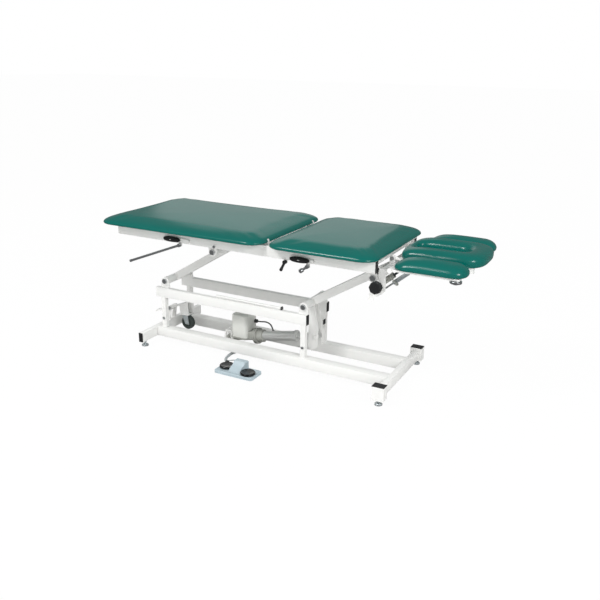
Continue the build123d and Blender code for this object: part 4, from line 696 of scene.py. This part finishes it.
@dataclass
class TablePad(Cushion):
    """A long pad: rings of rounded rectangles from the board up to the crown.

    The rings are inset by under * (1 - cos t) below the widest level and by
    roll * (1 - cos t) ** roll_power above it, where t runs over a quarter turn each, and the
    height follows sin t. Above the roll the rings shrink to the middle, and the top rises by
    crown * (1 - s * s), where s falls from 1 at the rim to 0 at the middle. The sides draw
    in by draw * (1 - q * q), where q is the share of the half side from its middle, and this
    fades towards the pad's middle as draw_power of the share of the half width.
    """

    x0_mm: float = 0.0
    x1_mm: float = 0.0
    half_mm: float = 0.0
    thick_mm: float = 46.0
    corner_mm: float = 80.0
    roll_mm: float = 108.0
    corner_share: float = 0.55
    under_mm: float = 9.0
    crown_mm: float = 4.0
    widest_share: float = 0.24
    roll_power: float = 0.9
    draw_mm: float = 1.5
    draw_power: int = 5
    flat_rings: int = 8
    roll_rings: int = 15
    top_rings: int = 24
    corner_steps: int = 24

    def surface(self) -> np.ndarray:
        """Work out the rings of the pad.

        Returns:
            Array of rings by places on the ring by three, in metres.
        """
        quarter = np.linspace(0.0, QUARTER_TURN, self.roll_rings)
        rim = self.thick_mm - self.crown_mm
        wide = self.thick_mm * self.widest_share
        shrink = np.linspace(1.0, 0.0, self.top_rings)
        flat = np.linspace(0.0, 1.0, self.flat_rings, endpoint=False)
        under = self.under_mm * (1 - np.cos(quarter[::-1]))
        roll = self.roll_mm * (1 - np.cos(quarter)) ** self.roll_power
        level_under = wide * (1 - np.sin(quarter[::-1]))
        level_roll = wide + (rim - wide) * np.sin(quarter)
        rise = self.crown_mm * (1 - shrink[1:] ** 2)
        first, last = np.full(flat.size, under[0]), np.full(rise.size, roll[-1])
        inset = np.concatenate([first, under, roll[1:], last])
        height = np.concatenate([np.zeros(flat.size), level_under, level_roll[1:], rim + rise])
        scale = np.concatenate([flat, np.ones(under.size + roll.size - 1), shrink[1:]])
        half_x = (self.x1_mm - self.x0_mm) / 2
        rings = [
            rounded_outline(
                half_x - gap,
                self.half_mm - gap,
                self.corner_mm - gap * self.corner_share,
                self.corner_steps,
            )
            for gap in inset
        ]
        outline = np.stack(rings) * scale[:, None, None]
        share_x = np.clip(outline[..., 0] / half_x, -1, 1)
        share_y = np.clip(outline[..., 1] / self.half_mm, -1, 1)
        draw_x = self.draw_mm * (1 - share_y**2) * share_x**self.draw_power
        draw_y = self.draw_mm * (1 - share_x**2) * share_y**self.draw_power
        middle = (self.x0_mm + self.x1_mm) / 2
        grid = np.empty((*outline.shape[:2], 3))
        grid[..., 0] = middle + outline[..., 0] - draw_x
        grid[..., 1] = outline[..., 1] - draw_y
        grid[..., 2] = self.bottom_mm + height[:, None]
        return grid * MM


@dataclass
class ArmPad(TablePad):
    """An arm rest's pad: the same rings, set beside the head pad."""

    middle_y_mm: float = 0.0
    cut_mm: float = 120.0
    cut_share: float = 0.42

    def surface(self) -> np.ndarray:
        """Work out the rings of a table pad, moved sideways and lowered at the table end.

        Returns:
            Array of rings by places on the ring by three, in metres.
        """
        grid = super().surface() / MM + np.array([0.0, self.middle_y_mm, 0.0])
        return lowered_end(grid, self.x0_mm, self.cut_mm, self.cut_share, self.bottom_mm) * MM


@dataclass
class HeadPad(Cushion):
    """A pad round a face opening.

    A section runs once round the opening. On the two straight arms it lies between the
    opening's side and the pad's side. Round each end, at the angle a, it lies between two
    superellipses |x / reach| ** n + |y / half| ** n = 1 about the end's centre. head_powers and
    table_powers give n for the opening and for the pad at either end. The section is a
    superellipse of exponent section_power, cut off flat at its bottom at flat_share of its half
    height.
    """

    x0_mm: float = 582.5
    x1_mm: float = 945.0
    half_mm: float = 150.0
    slot_mm: float = 50.0
    turn_mm: float = 805.0
    slot_start_mm: float = 618.0
    thick_mm: float = 53.0
    cut_mm: float = 130.0
    cut_share: float = 0.3
    head_powers: tuple[float, float] = (2.0, 3.4)
    table_powers: tuple[float, float] = (4.0, 4.5)
    section_power: float = 2.5
    flat_share: float = 0.55
    arm_steps: int = 30
    end_steps: int = 61
    section_steps: int = 64

    @staticmethod
    def _end(angle: np.ndarray, reach: float, half: float, power: float) -> np.ndarray:
        """Work out points of a superellipse about its centre.

        Args:
            angle: the angle of each point, in radians.
            reach: the half axis along X.
            half: the half axis along Y.
            power: its exponent.

        Returns:
            Array of shape (count, 2).
        """
        cos, sin = np.cos(angle), np.sin(angle)
        far = (np.abs(cos / reach) ** power + np.abs(sin / half) ** power) ** (-1 / power)
        return np.stack([cos * far, sin * far], axis=1)

    def surface(self) -> np.ndarray:
        """Work out the sections round the opening.

        Returns:
            Array of places round the opening by places round the section by three, in metres.
        """
        slot, half = self.slot_mm, self.half_mm
        head = np.array([self.turn_mm, 0.0])
        table = np.array([self.slot_start_mm + slot, 0.0])
        along = np.linspace(table[0], head[0], self.arm_steps)
        near_side = np.stack([along, -np.ones_like(along)], axis=1)
        far_side = near_side[::-1] * (1.0, -1.0)
        out = np.linspace(-QUARTER_TURN, QUARTER_TURN, self.end_steps)[1:-1]
        reaches = ((slot, slot), (self.x1_mm - head[0], table[0] - self.x0_mm))
        powers = zip(self.head_powers, self.table_powers)
        edges = []
        for side, (at_head, at_table), (n_head, n_table) in zip((slot, half), reaches, powers):
            round_head = head + self._end(out, at_head, side, n_head)
            round_table = table + self._end(out + math.pi, at_table, side, n_table)
            runs = [near_side * (1.0, side), round_head, far_side * (1.0, side), round_table]
            edges.append(np.concatenate(runs))
        inner, outer = edges
        middle, reach = (inner + outer) / 2, (outer - inner) / 2
        turn = np.linspace(0.0, FULL_TURN, self.section_steps, endpoint=False)
        power = 2 / self.section_power
        across = np.sign(np.cos(turn)) * np.abs(np.cos(turn)) ** power
        lift = np.sign(np.sin(turn)) * np.abs(np.sin(turn)) ** power
        rise = (np.maximum(lift, -self.flat_share) + self.flat_share) / (1 + self.flat_share)
        grid = np.empty((middle.shape[0], turn.size, 3))
        grid[..., :2] = middle[:, None] + reach[:, None] * across[:, None]
        grid[..., 2] = self.bottom_mm + self.thick_mm * rise
        return lowered_end(grid, self.x0_mm, self.cut_mm, self.cut_share, self.bottom_mm) * MM


def box_object(name: str, low: tuple[float, ...], high: tuple[float, ...]) -> bpy.types.Object:
    """Make a plain box without a finish.

    Args:
        name: the object's name.
        low: its lowest corner, in metres.
        high: its highest corner, in metres.

    Returns:
        The new object.
    """
    points = list(itertools.product(*zip(low, high)))
    faces = [(0, 1, 3, 2), (4, 6, 7, 5), (0, 4, 5, 1), (2, 3, 7, 6), (0, 2, 6, 4), (1, 5, 7, 3)]
    return bare_object(name, points, faces)


@dataclass
class Upholstery:
    """The five upholstered pads."""

    pad_half_mm: float = 341.0
    pad_bottom_mm: float = 660.2
    head_bottom_mm: float = 648.2
    arm_bottom_mm: float = 640.2
    arm_y_mm: float = 232.5
    pocket_y_mm: tuple[float, float] = (217.0, 238.0)

    def _pockets(
        self, hinge: float, end: float, arch: float, lip: float
    ) -> tuple[Pocket, Pocket]:
        """The two recesses of a pad, one for the ear on each side.

        Args:
            hinge: X of the hinge line.
            end: X of the pad's end.
            arch: radius of the arch.
            lip: height of the opening at the pad's end, from the hinge line up.

        Returns:
            The recess on the near side and the one on the far side.
        """
        near, far = self.pocket_y_mm
        return Pocket(hinge, end, -far, -near, arch, lip), Pocket(hinge, end, near, far, arch, lip)

    def build(self) -> None:
        """Make all the pads."""
        TablePad(
            "leg_cushion", "leg_pad", "leg_section", self.pad_bottom_mm, voxel_mm=6.0,
            subdivide=False, pockets=self._pockets(hinge=-22.0, end=-3.0, arch=13.0, lip=9.0),
            x0_mm=-943.0, x1_mm=-3.6, half_mm=self.pad_half_mm,
        ).build()
        TablePad(
            "middle_cushion", "mid_pad", "mid_section", self.pad_bottom_mm, voxel_mm=6.0,
            pockets=self._pockets(hinge=532.5, end=551.5, arch=11.2, lip=-3.0),
            x0_mm=16.5, x1_mm=551.0, half_mm=self.pad_half_mm,
        ).build()
        HeadPad(
            "head_cushion", "head_pad", "head_section", self.head_bottom_mm, cap_mm=4.0,
            even_passes=6, ring=True,
        ).build()
        for side, sign in (("right", -1.0), ("left", 1.0)):
            ArmPad(
                f"arm_cushion_{side}", f"arm_pad_{side}", f"arm_rest_{side}", self.arm_bottom_mm,
                cap_mm=5.0, even_passes=6, x0_mm=601.0, x1_mm=920.0, half_mm=70.0,
                thick_mm=54.0, corner_mm=68.0, roll_mm=60.0, corner_share=1.0, under_mm=10.0,
                draw_mm=4.0, middle_y_mm=sign * self.arm_y_mm,
            ).build()


@dataclass(frozen=True)
class Lead:
    """A flexible lead of a real length, on a route of given points."""

    name: str
    node: str
    body: str
    slot: str
    diameter_mm: float
    length_mm: float
    stiffness: str
    lay: str
    route_mm: tuple[tuple[float, float, float], ...]

    def build(self) -> bpy.types.Object:
        """Returns:
            The curve object.
        """
        curve = bpy.data.curves.new(self.name, "CURVE")
        curve.dimensions = "3D"
        curve.bevel_depth = self.diameter_mm * MM / 2
        curve.bevel_resolution = 6
        curve.resolution_u = 16
        curve.use_fill_caps = True
        line = curve.splines.new("NURBS")
        line.points.add(len(self.route_mm) - 1)
        for point, place in zip(line.points, self.route_mm):
            point.co = (*mm(*place), 1.0)
        line.order_u = 3
        line.use_endpoint_u = True
        made = bpy.data.objects.new(self.name, curve)
        bpy.context.scene.collection.objects.link(made)
        curve.materials.append(SLOT_FINISH[self.slot].material())
        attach(made, self.body)
        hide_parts(self.node)
        LOG.info("lead %s: %.0f mm", self.name, self.length_mm)
        return made


MOTOR_LEAD = Lead(
    "motor_lead_jacket", "motor_lead", "actuator_body", "cable_dark", 7.0, 113.1, "medium",
    "hanging",
    (
        (-227.0, 34.0, 152.0), (-206.0, 34.3, 152.8), (-182.0, 35.5, 157.5),
        (-158.0, 37.5, 152.0), (-143.0, 39.0, 135.0), (-137.0, 40.0, 114.0),
    ),
)
SWITCH_SLEEVE = Lead(
    "foot_switch_sleeve", "switch_sleeve", "base", "sleeve_grey", 14.0, 291.3, "stiff", "loose",
    (
        (-248.0, -230.0, 17.0), (-270.0, -210.0, 13.0), (-287.0, -182.0, 9.5),
        (-297.0, -148.0, 7.5), (-300.0, -110.0, 7.5), (-288.0, -74.0, 8.0),
        (-258.0, -50.0, 11.0), (-222.0, -47.0, 22.0), (-200.0, -57.0, 37.0),
        (-194.0, -71.0, 45.0),
    ),
)
SWITCH_CABLE = Lead(
    "foot_switch_cable", "switch_cable", "base", "sleeve_grey", 5.0, 128.3, "medium", "loose",
    (
        (-240.0, -233.0, 27.0), (-222.0, -226.0, 31.0), (-198.0, -221.0, 34.0),
        (-170.0, -219.0, 36.0), (-144.0, -221.0, 38.0), (-128.0, -230.0, 40.0),
        (-124.0, -242.0, 40.0),
    ),
)


@dataclass(frozen=True)
class Grip:
    """A black plastic grip or plug pushed on the end of a steel piece.

    size_mm is its length, thickness and height. Its box is set in the node's box by shares
    along X, Y and Z, where 0 is the low side and 1 the high side. Its surface is
    half * sign(c) * |c| ** power along each axis c of the unit ball, a little squared off.
    """

    name: str
    node: str
    size_mm: tuple[float, float, float]
    shares: tuple[float, float, float] = (0.0, 0.0, 0.5)
    power: float = 0.85
    around_steps: int = 48
    along_steps: int = 25

    def build(self, lever: bpy.types.Object, body: str) -> bpy.types.Object:
        """Make the grip round the end of its lever.

        Args:
            lever: the lever's CAD node.
            body: the body that it moves with.

        Returns:
            The finished grip.
        """
        points = coordinates(lever.data)
        low, high = points.min(axis=0), points.max(axis=0)
        half = np.array(self.size_mm) * MM / 2
        centre = low + half + np.array(self.shares) * (high - low - 2 * half)
        around = np.linspace(0.0, FULL_TURN, self.around_steps, endpoint=False)
        up = np.linspace(-QUARTER_TURN, QUARTER_TURN, self.along_steps)[:, None]
        level = np.sin(up) * np.ones_like(around)
        ball = np.stack([level, np.cos(up) * np.cos(around), np.cos(up) * np.sin(around)], axis=-1)
        skin = centre + half * np.sign(ball) * np.abs(ball) ** self.power
        made = new_object(self.name, grid_mesh(self.name, skin), POLYETHYLENE)
        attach(made, body)
        return made


GRIPS = (
    Grip("leg_paddle_grip", "leg_paddle", (99.0, 21.0, 27.0)),
    Grip("middle_paddle_grip", "mid_paddle", (99.0, 21.0, 27.0)),
    Grip("conduit_plug", "conduit_tube", (9.0, 18.0, 18.0), shares=(1.0, 0.5, 0.5), power=0.5),
)


@dataclass
class SteelWork:
    """The frame's own pieces: each keeps its CAD shape and gets its real finish.

    Square tubes and plates are copied with their edges rounded, as drawn and ground steel has.
    Points in one cell of a grid of cells_per_m to the metre are merged. Faces that turn less
    than flat_below become one, and edges that turn more than edge_above are rounded by edge_mm.
    """

    nodes: dict[str, bpy.types.Object]
    slots: dict[str, str]
    bodies: dict[str, str]
    edge_mm: float = 1.2
    cells_per_m: float = 1e5
    flat_below: float = math.radians(0.5)
    edge_above: float = math.radians(40.0)

    def dress(self) -> None:
        """Give every CAD node its finish."""
        for name, node in self.nodes.items():
            finish = SLOT_FINISH[self.slots[name]]
            node.data.materials.clear()
            node.data.materials.append(finish.material())
        LOG.info("dressed %d nodes", len(self.nodes))

    def soften(self, name: str) -> None:
        """Replace a node by a merged copy with rounded edges.

        Args:
            name: the CAD node.
        """
        source = self.nodes[name].data
        points = coordinates(source)
        source.calc_loop_triangles()
        flat = np.empty(len(source.loop_triangles) * 3, dtype=np.int32)
        source.loop_triangles.foreach_get("vertices", flat)
        _, first, back = np.unique(
            np.round(points * self.cells_per_m).astype(np.int64),
            axis=0,
            return_index=True,
            return_inverse=True,
        )
        faces = back.reshape(-1)[flat].reshape(-1, 3)
        whole = (faces != np.roll(faces, 1, axis=1)).all(axis=1)
        mesh = bpy.data.meshes.new(name + "_rounded")
        mesh.from_pydata(points[first].tolist(), [], faces[whole].tolist())
        work = bmesh.new()
        work.from_mesh(mesh)
        bmesh.ops.dissolve_limit(
            work, angle_limit=self.flat_below, verts=work.verts, edges=work.edges
        )
        work.to_mesh(mesh)
        work.free()
        made = new_object(name + "_rounded", mesh, SLOT_FINISH[self.slots[name]])
        edge = made.modifiers.new("edges", "BEVEL")
        edge.width, edge.segments, edge.limit_method = self.edge_mm * MM, 2, "ANGLE"
        edge.angle_limit = self.edge_above
        bake(made)
        made.data.set_sharp_from_angle(angle=SMOOTH_BELOW)
        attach(made, self.bodies[name])
        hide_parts(name)
        LOG.info("rounded %s: %d faces", name, len(made.data.polygons))


LAMP_AIM_M = (0.0, 0.0, 0.4)


@dataclass(frozen=True)
class Lamp:
    """A square soft lamp that faces the middle of the table."""

    name: str
    place_m: tuple[float, float, float]
    size_m: float
    watts: float

    def build(self) -> None:
        """Add the lamp to the scene."""
        light = bpy.data.lights.new(self.name, "AREA")
        light.size, light.energy = self.size_m, self.watts
        made = bpy.data.objects.new(self.name, light)
        toward = Vector(LAMP_AIM_M) - Vector(self.place_m)
        turn = toward.to_track_quat("-Z", "Y").to_matrix().to_4x4()
        made.matrix_world = Matrix.Translation(self.place_m) @ turn
        bpy.context.scene.collection.objects.link(made)


LAMPS = (
    Lamp("key lamp", (-1.6, -3.4, 4.2), 1.2, 122.0),
    Lamp("fill lamp", (3.6, -2.0, 2.6), 1.1, 72.0),
    Lamp("sheen lamp", (-2.3, 4.0, 2.4), 3.0, 12.0),
)


@dataclass
class Studio:
    """Camera at the photograph's viewing angle, pale floor and soft lamps.

    yaw, pitch and roll are in degrees. sky is the strength of the white light from all round,
    and room what glossy surfaces see of it. floor_glow is the share of pure white in the floor
    as the camera sees it.
    """

    camera_m: tuple[float, float, float] = (1.56814, -2.96031, 1.46438)
    yaw: float = 27.3436
    pitch: float = 18.8731
    roll: float = 0.9407
    lens_mm: float = 42.644
    sensor_mm: float = 36.0
    floor_m: float = 80.0
    floor_deep_mm: float = 20.0
    floor_gap_mm: float = 0.3
    floor_glow: float = 0.97
    sky: float = 0.76
    room: float = 0.2

    def build(self) -> None:
        """Set up the camera, the light and the floor."""
        self._camera()
        for lamp in LAMPS:
            lamp.build()
        self._world()
        self._floor()
        bpy.context.scene.view_settings.view_transform = "Standard"

    def _camera(self) -> None:
        """Place the camera from its yaw, pitch and roll about its own axes."""
        yaw, pitch, roll = (math.radians(a) for a in (self.yaw, self.pitch, self.roll))
        ahead = np.array(
            [-math.sin(yaw) * math.cos(pitch), math.cos(yaw) * math.cos(pitch), -math.sin(pitch)]
        )
        right = np.array([math.cos(yaw), math.sin(yaw), 0.0])
        up = np.cross(right, ahead)
        turned = right * math.cos(roll) + up * math.sin(roll)
        upright = up * math.cos(roll) - right * math.sin(roll)
        matrix = Matrix.Identity(4)
        for column, axis in enumerate((turned, upright, -ahead)):
            for row in range(3):
                matrix[row][column] = float(axis[row])
        matrix.translation = Vector(self.camera_m)
        optics = bpy.data.cameras.new("camera")
        optics.sensor_fit = "HORIZONTAL"
        optics.sensor_width, optics.lens = self.sensor_mm, self.lens_mm
        made = bpy.data.objects.new("camera", optics)
        made.matrix_world = matrix
        bpy.context.scene.collection.objects.link(made)
        bpy.context.scene.camera = made

    def _seen(self, tree: bpy.types.NodeTree) -> bpy.types.Node:
        """Tell rays that show a background, from the camera or through glass, from others.

        Args:
            tree: the node tree.

        Returns:
            The node whose value is one for such rays and nought for others.
        """
        path = add_node(tree, "ShaderNodeLightPath")
        return add_node(
            tree,
            "ShaderNodeMath",
            {0: (path, "Is Camera Ray"), 1: (path, "Is Transmission Ray")},
            operation="MAXIMUM",
        )

    def _world(self) -> None:
        """White behind everything, a dimmer white as light, and a dim room in reflections."""
        world = bpy.data.worlds.new("studio")
        world.use_nodes = True
        tree = world.node_tree
        tree.nodes.clear()
        white = linear("#FFFFFF")
        lit = add_node(tree, "ShaderNodeBackground", {"Color": white, "Strength": self.sky})
        shown = add_node(tree, "ShaderNodeBackground", {"Color": white, "Strength": 1.0})
        room = add_node(tree, "ShaderNodeBackground", {"Color": white, "Strength": self.room})
        path = add_node(tree, "ShaderNodeLightPath")
        cast = add_node(
            tree,
            "ShaderNodeMixShader",
            {0: (path, "Is Glossy Ray"), 1: (lit, "Background"), 2: (room, "Background")},
        )
        mix = add_node(
            tree,
            "ShaderNodeMixShader",
            {0: (self._seen(tree), "Value"), 1: (cast, "Shader"), 2: (shown, "Background")},
        )
        add_node(tree, "ShaderNodeOutputWorld", {"Surface": (mix, "Shader")})
        bpy.context.scene.world = world

    def _floor(self) -> None:
        """A wide pale floor that shows near white and keeps a light shadow."""
        half = self.floor_m / 2
        deep, top = mm(-self.floor_deep_mm, -self.floor_gap_mm)
        floor = box_object("floor", (-half, -half, deep), (half, half, top))
        paint = bpy.data.materials.new("pale floor")
        paint.use_nodes = True
        tree = paint.node_tree
        tree.nodes.clear()
        matte = add_node(tree, "ShaderNodeBsdfDiffuse", {"Color": linear("#EDEDEC")})
        glow = add_node(tree, "ShaderNodeEmission", {"Color": linear("#FFFFFF"), "Strength": 1.0})
        share = add_node(
            tree,
            "ShaderNodeMath",
            {0: (self._seen(tree), "Value"), 1: self.floor_glow},
            operation="MULTIPLY",
        )
        mix = add_node(
            tree,
            "ShaderNodeMixShader",
            {0: (share, "Value"), 1: (matte, "BSDF"), 2: (glow, "Emission")},
        )
        add_node(tree, "ShaderNodeOutputMaterial", {"Surface": (mix, "Shader")})
        floor.data.materials.append(paint)
        floor.visible_glossy = False
        floor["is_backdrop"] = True


# Levers whose black grip is a piece of its own: the steel below it has these finishes.
BARE_LEVERS = {"leg_paddle": "white_steel", "mid_paddle": "white_steel"}

ROUNDED_NODES = (
    "base_cross_tubes", "base_rails", "mid_rails", "top_rails", "lever_plates",
    "actuator_bracket", "leg_frame", "mid_frame", "head_frame",
)


def main() -> tuple[list[float], list[float]]:
    """Build the visual model round the frame.

    Returns:
        The lowest and the highest corner of the CAD model's box.
    """
    logging.basicConfig(level=logging.INFO, format="%(name)s %(message)s")
    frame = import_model()
    low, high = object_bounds()
    record = frame["record"]
    slots = {row["node"]: row["material_slot"] for row in record["subparts"]} | BARE_LEVERS
    groups = record["behaviour"]["bodies"]
    bodies = {node: body for body, members in groups.items() for node in members}
    steel = SteelWork(frame["nodes"], slots, bodies)
    steel.dress()
    for name in ROUNDED_NODES:
        steel.soften(name)
    for grip in GRIPS:
        grip.build(frame["nodes"][grip.node], bodies[grip.node])
    for lead in (MOTOR_LEAD, SWITCH_SLEEVE, SWITCH_CABLE):
        lead.build()
    Upholstery().build()
    Studio().build()
    return list(low), list(high)


if __name__ == "__main__":
    cad_box = main()
